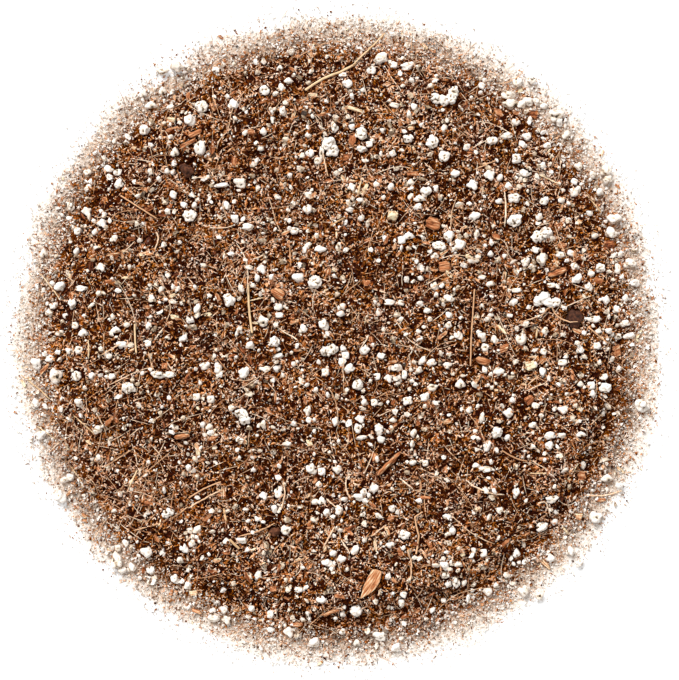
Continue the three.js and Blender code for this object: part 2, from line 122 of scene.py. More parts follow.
# Places where rusty bark crumbs lie close together: X, Y and reach.
RUST_SPOTS = (
    (-20.1, 18.9, 2.2), (-14.5, 20.6, 2), (-18, 15.4, 3.4), (-3, 20.3, 1.4), (-5.3, 31.4, 1.4),
    (9.5, 16.3, 1.6), (-25.4, 0.2, 1.4), (-20.4, -3.4, 1.6), (-9.6, -0.8, 1.4), (6.5, 4.2, 1.4),
    (23.3, 15.3, 1.5), (19.3, 20.6, 1.3), (16.7, -6.7, 1.5), (-66.8, 33, 3), (-56.6, 33.7, 1.8),
    (-85.2, 20.6, 1.8), (-80.9, 35.3, 2.2), (-67.4, 16.9, 1.6), (-57.3, 9.4, 1.4),
    (-76.7, 5.5, 1.8), (-71.4, 3.2, 1.6), (-85.5, -1.1, 1.8), (-80.6, 13, 2), (-73.4, 25.8, 1.6),
    (-63.2, 43.2, 1.6), (-50.4, 46.5, 2), (30, -30, 1.5), (52, 12, 1.8), (66, 34, 1.6),
)

# White granules picked out: place X and Y, then width and depth.
PERLITE_SPOTS = (
    (-56.5, 71, 3.5, 2), (-44.5, 66, 3, 3.2), (-41.5, 57.5, 2.8, 4), (-49, 56.5, 2.5, 2.5),
    (-48.8, 83, 4, 3), (-53, 81.3, 3.5, 2), (-53, 75.5, 2.2, 2.2), (-59, 74.5, 2.5, 2),
    (-69.5, 51.8, 3, 2), (-66.5, 50.5, 2.5, 2), (-66, 47, 2.5, 3), (-75.7, 50.5, 2.2, 2.2),
    (-75.5, 46, 2.2, 2.2), (-80.8, 40.3, 2, 2.5), (-76, 38.8, 2.7, 2.5), (-71, 35, 2.5, 2.5),
    (-46.3, 40.6, 1.8, 1.6), (-43, 40.6, 1.7, 1.7), (-49.5, 43.7, 2, 2.3), (-51.5, 50.8, 1.7, 1.8),
    (-49.5, 50.5, 1.6, 1.5), (-33.5, 40.5, 2.3, 2.3), (-35, 46.5, 4, 1.3), (21, 82.8, 3.8, 2.5),
    (13, 85, 4, 3.5), (17, 83, 2.2, 2.2), (10, 81, 2.5, 2.4), (2.8, 77, 2.8, 2.6),
    (1.5, 79.7, 2.2, 1.5), (-17, 76, 2.2, 2.2), (-15, 78, 2.4, 1.8), (-31.5, 71, 3, 2.5),
    (-16.5, 68.8, 2, 2.8), (-19.5, 66.2, 1.5, 2.5), (-22.5, 62.8, 1.8, 2.2), (-9, 61.7, 1.8, 1.8),
    (-1, 64, 2, 3), (-4.9, 56.2, 1.3, 3.4), (-8.5, 56, 2.2, 2.2), (-6, 53.9, 2, 2),
    (7.3, 57.3, 3.2, 1.8), (4.1, 64, 1.7, 1.7), (9.4, 58.8, 1.8, 1.6), (13.5, 63, 1.7, 1.7),
    (16.5, 56, 2, 2), (32, 63.5, 2, 2), (17, 70.5, 2.8, 1.5), (22.8, 70, 1.8, 1.8),
    (21.3, 67.8, 1.4, 2.2), (4, 45.8, 2.2, 2.2), (26.5, 44.5, 3, 2.8), (24.5, 42.5, 3.2, 1.8),
    (22, 43, 2, 2), (24, 40, 2.5, 2), (29.3, 45.5, 1.5, 2), (21.8, 47.5, 2, 2), (16, 46, 2, 2),
    (-9, 43.5, 2, 2), (-9.2, 39.3, 2.5, 2.4), (3.5, 39.3, 2.2, 1.5), (-29.5, 47, 3.2, 2.6),
    (-31, 36.3, 2.2, 2.2), (-27, 34, 3, 2), (51.5, 74, 4, 2.5), (52, 71.3, 4.2, 2.6),
    (55.5, 71.3, 2.4, 2.4), (57.5, 72, 2.5, 2.4), (60.3, 72, 2.3, 2.3), (62.2, 70.8, 2, 2),
    (54.3, 78, 2.5, 2.4), (58.5, 78.7, 2.8, 2), (66, 68, 4, 3.2), (66.8, 65.8, 2, 2.5),
    (69, 62, 2.2, 2.5), (43.5, 77, 2, 2), (50.6, 61.4, 3.3, 2), (56.8, 61.5, 3, 2.5),
    (55.5, 59, 2.7, 2), (63.2, 58.7, 2.2, 1.8), (35.2, 50, 2.4, 2.3), (45.3, 49.5, 2.9, 2.8),
    (48.7, 48.7, 2, 2), (40.3, 46.5, 3, 2.8), (51, 46.3, 2, 2), (55.8, 50.2, 3.3, 2),
    (61.7, 52.5, 2, 2), (72.7, 52.5, 2.3, 2.3), (81, 51.5, 3, 2.9), (81.5, 48.5, 2.8, 2.6),
    (77, 50, 2, 2), (48.5, 41.7, 2.5, 1.5), (71.5, 45, 3.3, 3.1), (71.5, 47.9, 2, 2),
    (79.3, 44.8, 2, 2), (67, 42, 2, 2), (41, 37.3, 3, 2.5), (60.5, 37, 2, 2), (83.5, 36.5, 4, 3),
    (53.7, 65.8, 2.3, 1.8), (-78.5, 32.7, 2.5, 2.4), (-73, 32.5, 1.8, 1.8), (-89, 26.3, 2.4, 2.4),
    (-78.8, 26.8, 1.9, 1.9), (-71.3, 21.7, 2.5, 2.3), (-68, 18.2, 1.4, 1.5), (-84, 16.3, 3.2, 2.6),
    (-86.5, 17.3, 1.6, 1.6), (-77, 15.5, 3, 1.6), (-80, 10.8, 2.2, 3), (-86, 10.5, 2.4, 2),
    (-82.3, 7.2, 1.6, 1.6), (-79, 4.5, 1.9, 1.9), (-76.5, 2.3, 2.7, 2.2), (-84, 2, 2.5, 1.8),
    (-66.7, 3, 3, 1.8), (-63.5, 4.6, 1.8, 1.8), (-56.7, 4.2, 2, 2), (-42.3, 9.5, 1.8, 3),
    (-64.8, -1.7, 3, 2.3), (-57, -1, 1.8, 1.8), (-46.5, 0.5, 2.2, 2.2), (-81, -3.3, 2, 2),
    (-77.8, -3, 2.5, 2.2), (-87, -5.5, 2.5, 2.4), (-91.3, -7.3, 2.8, 3), (-85.2, -10.8, 3.5, 4),
    (-74.2, -10.8, 2.4, 2), (-68.5, -11, 3, 1.6), (-53.8, -10.5, 4.5, 2), (-50.5, -10.3, 2.3, 1.6),
    (-40, -7.7, 2.8, 2.2), (-36, -8.5, 2, 3.2), (-78, -19, 2.4, 2.4), (-91.5, -19, 2.5, 2.5),
    (-42.5, -17, 2, 2), (-38.3, -17.7, 2, 2), (-38.5, -26, 2.2, 1.7), (-40.5, -25.5, 1.8, 1.8),
    (-72.3, -27, 2.5, 2.5), (-90, -28.7, 3, 2.5), (-12, 18.4, 3.2, 3), (-22.3, 5.7, 3, 2.8),
    (-10.5, 3.5, 2.3, 2.3), (-4.3, 4.5, 2.8, 3), (2.2, -4.6, 2, 2), (3.4, -8.5, 2.8, 2.7),
    (-3.9, -9.7, 2, 2), (13, -4.7, 2.5, 1.8), (28, -6.8, 2.8, 2.2), (25.3, -6.3, 2, 2.5),
    (24.5, -9, 1.8, 1.8), (32.7, -7.8, 2.6, 2), (17.5, -8.3, 3.3, 2.2), (15, -11.5, 2.2, 2.2),
    (11.8, -11, 1.8, 1.8), (20, -10.3, 1.4, 2.5), (26, -17, 2.4, 2.4), (28.3, -14.3, 3, 2),
    (-28.3, -9.7, 2.8, 3), (-22, -8.8, 3, 1.7), (-18.3, -8.7, 2.2, 2.1), (-18, -4.8, 2.8, 1.6),
    (-26.5, -1.5, 2.3, 2.2), (-9.2, -21.3, 2, 3), (-8.7, -24, 1.8, 1.8), (-1, -24.5, 1.8, 2.6),
    (6.5, -23.6, 2.6, 2.1), (6, -26.5, 2, 2.6), (7, -29.3, 3, 1.5), (12.9, -29.9, 2.4, 1.8),
    (16.5, -24, 2, 1.5), (22.7, -28.3, 1.8, 2.5), (22.3, -31.3, 1.5, 2), (8, -18.7, 1.8, 1.8),
    (10.8, -18.8, 1.8, 1.8), (15.7, 11.3, 3.2, 1.7), (19, 11.2, 2, 1.6), (29, 16, 2.3, 2.3),
    (29.5, 13.7, 1.5, 1.5), (33, 12.5, 3.5, 2), (26.7, 8.8, 1.8, 1.8), (24.7, 21.7, 2.7, 2.3),
    (29.1, 25.2, 2.2, 1.8), (33.4, 31.2, 3, 2.8), (21.3, 31.3, 3.2, 2), (19, 30, 2, 2),
    (-5.3, 27.3, 3, 2), (0.2, 28, 1.6, 2.4), (-13, 32.8, 2.5, 2), (-23, 21.3, 2.5, 2.5),
    (-26.7, 21.8, 2.2, 1.3), (-24.3, 18.6, 1.3, 2.5), (-18, 10.1, 2.2, 1.9), (-17.7, 7.5, 2.2, 1.4),
    (33.3, 7.5, 1.7, 1.7), (33.3, 4.5, 1.9, 1.9), (36.7, 28.7, 3, 3), (41.8, 32, 1.7, 2.2),
    (45.8, 26, 1.7, 1.7), (59.1, 27, 2.6, 1.8), (61.3, 24.2, 3, 3.3), (56.3, 23.5, 2.3, 2.6),
    (66.7, 25.5, 2.5, 1.7), (70, 26.2, 2.6, 1.7), (71.2, 21.9, 2.3, 2.2), (71.7, 18.4, 2.8, 2.6),
    (76, 20, 2.2, 2.2), (84.5, 21.5, 1.8, 3.3), (88.2, 23.3, 3.7, 2.5), (82.5, 32.7, 3.5, 3),
    (77.5, 31.5, 2, 2), (43.3, 18.8, 2.3, 1.4), (45.8, 16.8, 2.4, 1.6), (53.7, 15, 2.5, 1.2),
    (64, 16.5, 2.2, 1.2), (61.4, 8.9, 1.5, 1.5), (52.8, 11.5, 2.4, 2.4), (75.3, 16, 2.2, 2.2),
    (80.5, 12, 2.2, 2.5), (84, 9.3, 2.4, 2.2), (87, 12.7, 2, 2), (89.7, 17.3, 2.8, 2.2),
    (76.9, 6.2, 3.4, 1.9), (86.5, 5, 3, 2), (78.3, 2.6, 2, 1.5), (81.3, 2.7, 2, 1.6),
    (84.5, 1, 2.2, 1.8), (88, 1.3, 3.3, 1.8), (36.2, 1.3, 2.3, 2.3), (43.3, 0.8, 2.3, 2.5),
    (47, 0.3, 2.3, 2.3), (44.3, -2.2, 2.3, 2.2), (55, 0.3, 2.8, 3.2), (62.3, 2.8, 2, 2),
    (77.8, -1.7, 2, 2), (72.7, -2.7, 2.2, 2.2), (61.7, -3.5, 1.9, 1.9), (48.3, -9.4, 2.8, 2.5),
    (61.5, -9.5, 1.8, 2.3), (67.5, -6.7, 2.4, 1.7), (36.8, -13.2, 2.8, 2.5), (52.3, -18, 1.8, 1.8),
    (39.5, -21, 1.8, 1.8), (51, -22, 3, 2.7), (43.2, -23.3, 1.6, 3), (51, -29.4, 1.9, 1.9),
    (44.7, -31.8, 2, 3), (58.7, -25.5, 2.6, 1.6), (63.5, -28.7, 3.4, 2.3), (67, -28.7, 2.6, 1.5),
    (63.5, -31.8, 2.4, 2.4), (73, -28.3, 3, 1.5), (67.5, -21, 3, 2.4), (72.8, -13.2, 1.8, 1.8),
    (80, -11.1, 2.2, 1.8), (76.1, -13.6, 2, 2), (76.5, -16, 1.6, 2.3), (92, -20, 4, 3.6),
    (-57.8, -64, 3.3, 3.2), (-64.2, -61.3, 2, 2.7), (-67, -66.5, 3, 4.5), (-66.8, -63, 2, 2),
    (-65.3, -69.5, 2.6, 2.5), (-62.5, -68.7, 2.5, 2.4), (-56.7, -69.7, 2.2, 2.2),
    (-49.2, -72.3, 2.5, 2.8), (-45.3, -74, 2.2, 2.6), (-46.2, -62.7, 2.4, 2.4), (-43.7, -61, 2, 2),
    (-42.3, -57, 2.3, 2.3), (-44.6, -57.3, 1.8, 1.8), (-47.5, -66, 2, 2), (-45, -38.5, 1.5, 2.2),
    (-65.6, -46.3, 1.3, 2), (-82.7, -42.3, 2.5, 1.8), (-81, -41.5, 2, 2), (-84, -47.5, 3.5, 3.4),
    (-34.7, -81.5, 2.5, 2.4), (-37.5, -84, 3.2, 2.3), (-33.8, -84.7, 2.4, 2.4),
    (1.5, -82.6, 1.6, 1.6), (-3.2, -67, 3, 2), (0.3, -51.2, 2, 2.8), (-3.3, -51.8, 2, 2),
    (-4.8, -48.3, 2.2, 2.2), (-6.9, -48.6, 1.9, 1.9), (-0.3, -39, 2.4, 2.4), (-5, -39.5, 2, 2),
    (-8, -38.8, 3, 3), (-5.8, -43.3, 1.8, 1.8), (6.2, -47.3, 2.6, 2), (7.7, -45.7, 2, 2),
    (10.8, -44.5, 2.3, 3), (1.8, -47.8, 1.8, 1.3), (-17.8, -46, 2.2, 3.5), (-22.5, -46.7, 2.2, 2.2),
    (-19.2, -50.8, 1.7, 2.5), (-15.6, -57, 2.7, 2.4), (-29, -60.3, 2.8, 1.6), (-33.6, -60.4, 2, 2),
    (16, -50.7, 2, 2), (15.7, -61.7, 2.4, 1.8), (5.2, -63, 2.6, 3), (1, -65.7, 2.5, 2.2),
    (-1.5, -64, 1.9, 1.9), (-24, -70.7, 2.2, 2.8), (-11.5, -75.2, 2.8, 1.7), (-5, -78, 2.7, 2),
    (-8.9, -82.5, 1.7, 1.7), (-26.2, -81, 1.8, 1.8), (-20.4, -82.7, 1.7, 2.2), (19.7, -76.5, 2, 2),
    (19, -79.3, 1.8, 2.3), (26.2, -37, 1.6, 1.6), (22.5, -36.8, 1.8, 1.8), (32, -68, 2.4, 2.4),
    (32, -70.7, 2.7, 2.2), (33.3, -73.5, 2, 2), (34.3, -57, 1.8, 2.5), (-15, -88.2, 2.8, 3),
    (-20.3, -87.7, 2.2, 1.5), (12.5, -89.7, 3.5, 2.5), (5.7, -91.5, 2, 2), (17.5, -93, 2.5, 2.4),
    (-7.3, -91.5, 3, 2.8), (1.3, -88.2, 1.8, 1.8), (41.5, -37.7, 2.3, 1.5), (44.7, -39, 4.3, 1.9),
    (64.3, -47.8, 3.6, 2.2), (53.5, -46, 1.8, 3), (48.5, -51.3, 2, 2), (65.6, -55, 1.9, 1.9),
    (45.2, -76, 2.7, 2.5), (47.8, -74, 1.7, 1.7), (35.5, -73, 2.2, 3), (38, -73, 1.3, 2.2),
    (36.2, -67.3, 2.4, 1.5), (43.7, -64, 2, 2), (41, -63.2, 1.8, 1.8), (54, -64.3, 2, 2.5),
    (64.3, -66, 2.5, 2.5), (70.3, -63.7, 2.5, 2.5), (78, -53.5, 3.5, 3), (81.5, -41.7, 3.7, 2),
    (74, -37.8, 1.5, 2.4), (56, -76, 3, 3.3), (61, -77.3, 2.3, 2.3), (73, -67.5, 2.2, 2.2),
    (85, -44.5, 2.4, 2.4), (52.8, -73.7, 2, 1.2), (1.7, 10.1, 2.2, 2), (0.9, 7.9, 2.7, 1.6),
)

# Small granules gather beside a picked one out to this many of its widths.
BESIDE = 1.6

# The picked granules from this mean width up, out to this far from the centre, are joined to
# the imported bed.
JOINED_WIDTH = 2.5
JOINED_REACH = 86.0
JOINED_GRANULES = tuple(
    spot for spot in PERLITE_SPOTS
    if (spot[2] + spot[3]) / 2 >= JOINED_WIDTH and math.hypot(spot[0], spot[1]) < JOINED_REACH
)

# Bark chips picked out: place X and Y, length, width, turn in degrees, and tone from
# dark red-brown (0) to pale yellow (1).
BARK_SPOTS = (
    (5, 69.3, 6.3, 1.3, -18, 0.85), (-50, 63.5, 5.5, 1.2, 15, 0.5), (-45, 59, 6, 1.3, 25, 0.55),
    (-45.3, 73.5, 3, 1.5, 90, 0.45), (4.3, 60.3, 4, 2.5, 85, 0.4), (2.7, 54.8, 2.5, 2.3, 0, 0.35),
    (-26, 62.5, 3, 2.2, 10, 0.5), (-31, 53.5, 3.5, 2.5, 80, 0.5), (-20.3, 56.3, 2.7, 1.3, 90, 0.6),
    (22.5, 50, 4, 2, 10, 0.5), (48.5, 68.7, 3, 3, 0, 0.5), (54, 68.5, 2.5, 1.5, 5, 0.6),
    (47.7, 47, 3.2, 1.3, 55, 0.75), (-37.5, -29.5, 4, 2, 25, 0.45), (-68.5, -24.3, 4, 1.5, 35, 0.5),
    (-67.5, 25.8, 5, 1, 5, 0.6), (-57, 9.8, 2.5, 1.5, 0, 0.6), (-69, 17.5, 3, 1.5, 10, 0.45),
    (-88.5, -8.5, 5, 1.3, 45, 0.6), (-52, -7.8, 2.3, 2, 80, 0.5), (-20.7, -21.7, 4.3, 1.5, -55, 0.6),
    (-18.8, -17, 4, 1, 90, 0.55), (-3, 20.3, 2.5, 2.2, 80, 0.45), (8.7, 17, 3, 2.2, 0, 0.4),
    (-12, -3, 3, 1.5, 10, 0.5), (16.5, -6.5, 3, 1.2, 5, 0.55), (-8.5, -16.3, 2.5, 1.5, -20, 0.5),
    (33, -24.5, 3, 1.8, 15, 0.8), (3.5, -29.5, 3, 1.5, 85, 0.2), (50, -2.5, 3.5, 2.5, 20, 0.55),
    (72.5, 2.4, 5.4, 1.5, -22, 0.6), (67.5, 28.5, 3, 2, 10, 0.45), (47.5, 31, 3, 2, -25, 0.5),
    (84, -3.5, 4, 4, 30, 0.55), (61.3, -6.3, 2.5, 1.8, 40, 0.55), (-41, -36, 3, 1.5, 20, 0.5),
    (-57, -49, 3, 1.8, 0, 0.45), (-43.5, -76.5, 3, 2, 15, 0.9), (0.5, -77, 3.5, 1.8, 0, 0.5),
    (-1.8, -81.8, 6.9, 1.3, 21, 0.55), (16, -53.5, 2.5, 1.8, 0, 0.5), (-19.5, -74.8, 2.5, 2, 0, 0.5),
    (-12.5, -86, 4, 1.7, 10, 0.5), (16.8, -72.3, 3, 1.3, -45, 0.6), (24.8, -43.8, 4, 0.9, 90, 0.65),
    (23.5, -82, 3, 1.5, 0, 0.5), (18.7, -64, 2, 2, 0, 0.4), (37.3, -64.3, 1.8, 1.6, 0, 0.95),
    (72.8, -53.5, 3, 2.5, 0, 0.8), (62.3, -67.5, 6, 1.5, -42, 0.75), (73.5, -41, 3, 3, 0, 0.5),
    (79.5, -48.5, 3.5, 1.5, 10, 0.55), (-50.3, 66.3, 3, 2.2, 0, 1), (57.7, -7.7, 3.5, 3, 20, 0.95),
    (-49, 6.7, 3, 2, 0, 0.95), (-8.5, -31, 2.4, 2.3, 0, 0.95),
    (59, 68, 4, 3, 0, 0.3), (82, 28.7, 4, 3, 10, 0.3), (78, 18, 4, 2.6, 0, 0.3),
)

# Routes of the roots and straws that stand out, each a thickness and the bends that it takes.
ROOT_ROUTES = (
    (0.5, (-55, 33), (-54, 30.5), (-55.5, 26)),
    (0.45, (55, 5.3), (61, 7.5), (64, 10), (65.5, 7.5), (69, 5.5), (72, 5.5)),
    (0.45, (75, 4), (78, 1.5), (81, -1)),
    (0.5, (-45, -50.5), (-40, -47.6), (-35, -45)),
    (0.5, (-61.5, -57.5), (-55, -55.5), (-49, -53), (-45, -50)),
    (0.45, (-70, -38), (-62, -33)),
    (0.5, (21, -63.5), (22, -67), (21.8, -72)),
    (0.5, (2.3, -42), (2.5, -45), (3.7, -47.5)),
    (0.45, (-3.5, -47.8), (-0.5, -50.3)),
    (0.5, (-1, -56), (-4.5, -62.5)),
    (0.45, (-16.5, -42), (-16, -46), (-17, -51)),
    (0.5, (-30, -59), (-24, -57.5), (-19, -55)),
    (0.45, (-10, -65.5), (-14.5, -67.5)),
    (0.45, (1, -60), (3.5, -64)),
    (0.5, (18.5, -41.5), (22.5, -44.7)),
    (0.45, (10, -59), (14.5, -55.5)),
    (0.5, (38.5, -42), (41, -44), (46, -46), (50, -46.5)),
    (0.5, (74.5, -47), (81, -47), (86, -45.5)),
    (0.45, (60, -49), (62.5, -49), (64, -53)),
    (0.45, (-18.5, 4), (-15.5, 2), (-13, 0.5), (-9, -3.5)),
    (0.4, (-28, -6.5), (-25, -10)),
    (0.45, (-14.5, 28), (-14.2, 22)),
    (0.4, (10.5, 15.3), (14.5, 14.2)),
    (0.45, (-71, -4.5), (-65, -1)),
    (0.4, (-55, 0), (-52.5, 3.5)),
    (0.4, (-57, -3.5), (-55.5, -9)),
    (0.4, (14.5, 56.5), (18, 61)),
    (0.45, (-4.5, 56), (-3, 49)),
    (0.5, (50, 44.5), (50.4, 39), (50, 34)),
    (0.4, (40.5, 51), (47.5, 54)),
    (0.45, (57, -13.5), (60.5, -10.5)),
    (0.4, (76, -25.5), (79.5, -22.5)),
)
STRAW_ROUTES = (
    (0.55, (4.5, 83), (10, 88.5), (14.3, 93)),
    (0.5, (-75, 0), (-74.8, -5.5)),
    (0.42, (57.5, -40), (62.5, -40)),
    (0.5, (7, 47.8), (5.8, 43.5)),
    (0.5, (-2.5, 34.2), (2, 36.8)),
    (0.55, (-60.3, -39), (-62.8, -44.5)),
    (0.85, (-34.4, -50.7), (-33.6, -54.4)),
    (0.65, (59.9, 3.5), (59.5, 0.5)),
    (0.85, (48, 4.5), (50.5, 1.8)),
    (0.75, (67.8, -56.5), (69.9, -58.9)),
    (0.85, (-65, 18.6), (-61.6, 18.9)),
    (0.42, (75, 44), (79.5, 38.5)),
    (0.42, (60, 50), (66.5, 47)),
    (0.42, (-80, -22.5), (-73.5, -28)),
    (0.42, (-96, -10.5), (-91, -14.5), (-87, -18)),
    (0.42, (-91, -26), (-85.5, -30)),
    (0.42, (-90, 20), (-86, 15), (-84, 12)),
    (0.42, (-81, -38), (-77.5, -43)),
    (0.42, (-26.4, 11.8), (-22.5, 12.8)),
)


class Slot(Enum):
    """The record's material slots."""

    MIX = "mix"
    CLOD = "clod"
    PERLITE = "perlite"
    BARK = "bark"
    PALE_BARK = "pale_bark"
    CREAM = "cream"
    STRAW = "straw"
    ROOT = "root"


class Lie(Enum):
    """How a grain lies: turned any way at all, or nearly flat."""

    ANY = "any"
    FLAT = "flat"


def linear(code: str) -> tuple[float, float, float, float]:
    """Gives the linear colour of a hex code.

    Args:
        code: six hex digits of an sRGB colour.

    Returns:
        Red, green, blue and alpha as the shader takes them.
    """
    shares = [int(code[i:i + 2], 16) / 255 for i in (0, 2, 4)]
    return tuple(s / 12.92 if s <= 0.04045 else ((s + 0.055) / 1.055) ** 2.4 for s in shares) + (1.0,)


class Wiring:
    """Adds nodes to a node tree and links them."""

    def __init__(self, tree: bpy.types.NodeTree) -> None:
        """Starts on an empty tree.

        Args:
            tree: the tree, which loses the nodes that it has.
        """
        self.tree = tree
        tree.nodes.clear()

    def add(self, kind: str, **settings: object) -> bpy.types.Node:
        """Adds a node.

        Args:
            kind: the node's type without its "ShaderNode" stem.
            settings: its properties.

        Returns:
            The new node.
        """
        node = self.tree.nodes.new(kind if kind.startswith("Node") else "ShaderNode" + kind)
        for key, value in settings.items():
            setattr(node, key, value)
        return node

    def link(self, source: Socket, target: Socket) -> None:
        """Links an output socket to an input socket."""
        self.tree.links.new(source, target)

    def math(self, operation: str, first: object, second: object, clamp: bool = False) -> Socket:
        """Adds a Math node.

        Args:
            operation: its operation.
            first: a socket or a number.
            second: a socket or a number.
            clamp: whether the result is kept between 0 and 1.

        Returns:
            The node's output.
        """
        node = self.add("Math", operation=operation, use_clamp=clamp)
        for socket, value in zip(node.inputs, (first, second)):
            if isinstance(value, (int, float)):
                socket.default_value = value
            else:
                self.link(value, socket)
        return node.outputs[0]

    def noise(self, place: Socket, scale: Socket, detail: float, roughness: float = 0.5) -> Socket:
        """Adds a soft noise.

        Args:
            place: where it is read.
            scale: how fine it is.
            detail: how many finer noises are laid over it.
            roughness: how strong those are.

        Returns:
            The noise, from 0 to 1.
        """
        node = self.add("TexNoise")
        node.inputs["Detail"].default_value = detail
        node.inputs["Roughness"].default_value = roughness
        self.link(place, node.inputs["Vector"])
        self.link(scale, node.inputs["Scale"])
        return node.outputs["Fac"]

    def strayed(self, pattern: Socket, depth: Socket) -> Socket:
        """Gives how far a noise strays from its middle, times a depth."""
        return self.math("MULTIPLY", self.math("SUBTRACT", pattern, NOISE_MIDDLE), depth)


def new_group(name: str, inputs: dict[str, str], outputs: dict[str, str]) -> tuple[Wiring, dict, dict]:
    """Makes an empty shader group.

    Args:
        name: the group's name.
        inputs: socket names and types.
        outputs: socket names and types.

    Returns:
        The wiring, the sockets that feed in, and the sockets that the results go to.
    """
    tree = bpy.data.node_groups.new(name, "ShaderNodeTree")
    wiring = Wiring(tree)
    for in_out, sockets in (("INPUT", inputs), ("OUTPUT", outputs)):
        for socket_name, kind in sockets.items():
            tree.interface.new_socket(socket_name, in_out=in_out, socket_type="NodeSocket" + kind)
    source = wiring.add("NodeGroupInput")
    result = wiring.add("NodeGroupOutput")
    return (
        wiring,
        {key: source.outputs[key] for key in inputs},
        {key: result.inputs[key] for key in outputs},
    )


def shift_tone(wiring: Wiring, given: dict, result: dict, pattern: Socket) -> None:
    """Ends a group that shifts a tone by a noise, and gives the noise as a height too.

    Args:
        wiring: the group's wiring.
        given: the sockets that feed in.
        result: the sockets that the results go to.
        pattern: the noise.
    """
    shift = wiring.strayed(pattern, given["Depth"])
    wiring.link(wiring.math("ADD", given["Tone"], shift, clamp=True), result["Tone"])
    wiring.link(pattern, result["Height"])


def mottle_group() -> bpy.types.NodeTree:
    """Builds the effect that makes a grain's tone uneven and its skin rough.

    Returns:
        The group.
    """
    wiring, given, result = new_group("mottle", SHIFT_TAKES, SHIFT_GIVES)
    cloud = wiring.noise(given["Place"], given["Scale"], detail=3.0, roughness=0.65)
    shift_tone(wiring, given, result, cloud)
    return wiring.tree


def streak_group() -> bpy.types.NodeTree:
    """Builds the plant grain that runs along bark, straw and roots.

    Returns:
        The group.
    """
    wiring, given, result = new_group("plant_grain", SHIFT_TAKES, SHIFT_GIVES)
    stretch = wiring.add("Mapping")
    stretch.inputs["Scale"].default_value = (GRAIN_STRETCH, 1.0, 1.0)
    wiring.link(given["Place"], stretch.inputs["Vector"])
    fibres = wiring.noise(stretch.outputs["Vector"], given["Scale"], detail=4.0)
    shift_tone(wiring, given, result, fibres)
    return wiring.tree


def pore_group() -> bpy.types.NodeTree:
    """Builds the small burst bubbles in the skin of perlite: their dents, and a mask for the painted
    shade inside them.

    Returns:
        The group.
    """
    takes = {"Place": "Vector", "Scale": "Float", "Size": "Float"}
    wiring, given, result = new_group("pores", takes, {"PoreShade": "Float", "Height": "Float"})
    bubbles = wiring.add("TexVoronoi")
    wiring.link(given["Place"], bubbles.inputs["Vector"])
    wiring.link(given["Scale"], bubbles.inputs["Scale"])
    depth = wiring.math("DIVIDE", bubbles.outputs["Distance"], given["Size"], clamp=True)
    wiring.link(wiring.math("SUBTRACT", 1.0, depth, clamp=True), result["PoreShade"])
    wiring.link(depth, result["Height"])
    return wiring.tree


def dust_and_side_shade_group() -> bpy.types.NodeTree:
    """Builds the peat dust that clings to a piece in patches, with more of it on the sides as painted
    shade.

    Returns:
        The group.
    """
    takes = {"Colour": "Color", "Dust": "Color", "Place": "Vector", "Scale": "Float", "Amount": "Float"}
    wiring, given, result = new_group("peat_dust_and_side_shade", takes, {"Colour": "Color"})
    patches = wiring.noise(given["Place"], given["Scale"], detail=5.0, roughness=0.7)
    facing = wiring.add("SeparateXYZ")
    wiring.link(wiring.add("NewGeometry").outputs["Normal"], facing.inputs["Vector"])
    # Painted shade: the sides, which face away from the light above, take more dust.
    side = wiring.math("SUBTRACT", 1.0, facing.outputs["Z"], clamp=True)
    level = wiring.math("ADD", patches, wiring.math("MULTIPLY", side, SIDE_DUST_AND_SHADE))
    over = wiring.math("SUBTRACT", level, wiring.math("SUBTRACT", 1.0, given["Amount"]))
    mix = wiring.add("Mix", data_type="RGBA")
    wiring.link(wiring.math("MULTIPLY", over, DUST_EDGE, clamp=True), mix.inputs["Factor"])
    wiring.link(given["Colour"], mix.inputs[MIX_FIRST])
    wiring.link(given["Dust"], mix.inputs[MIX_SECOND])
    wiring.link(mix.outputs[MIX_RESULT], result["Colour"])
    return wiring.tree


def warmth_group() -> bpy.types.NodeTree:
    """Builds the warm and greyish patches that the mix has from place to place.

    Returns:
        The group.
    """
    takes = {"Colour": "Color", "Scale": "Float", "Depth": "Float"}
    wiring, given, result = new_group("warmth", takes, {"Colour": "Color"})
    spread = wiring.add("TexCoord").outputs["Object"]
    patches = wiring.noise(spread, given["Scale"], detail=2.0, roughness=0.6)
    strength = wiring.math("ADD", MEAN_WARMTH, wiring.strayed(patches, given["Depth"]))
    shifted = wiring.add("HueSaturation")
    wiring.link(strength, shifted.inputs["Saturation"])
    wiring.link(given["Colour"], shifted.inputs["Color"])
    wiring.link(shifted.outputs["Color"], result["Colour"])
    return wiring.tree


class Effects:
    """The shared shader groups, each built once."""

    def __init__(self) -> None:
        """Builds the groups."""
        self.mottle = mottle_group()
        self.streaks = streak_group()
        self.pores = pore_group()
        self.dust = dust_and_side_shade_group()
        self.warmth = warmth_group()

    @staticmethod
    def place(wiring: Wiring, tree: bpy.types.NodeTree, **values: object) -> bpy.types.Node:
        """Places a group in a material.

        Args:
            wiring: the material's wiring.
            tree: the group.
            values: its inputs, as sockets or plain values.

        Returns:
            The group's node.
        """
        node = wiring.add("Group", node_tree=tree)
        for key, value in values.items():
            if isinstance(value, Socket):
                wiring.link(value, node.inputs[key])
            else:
                node.inputs[key].default_value = value
        return node


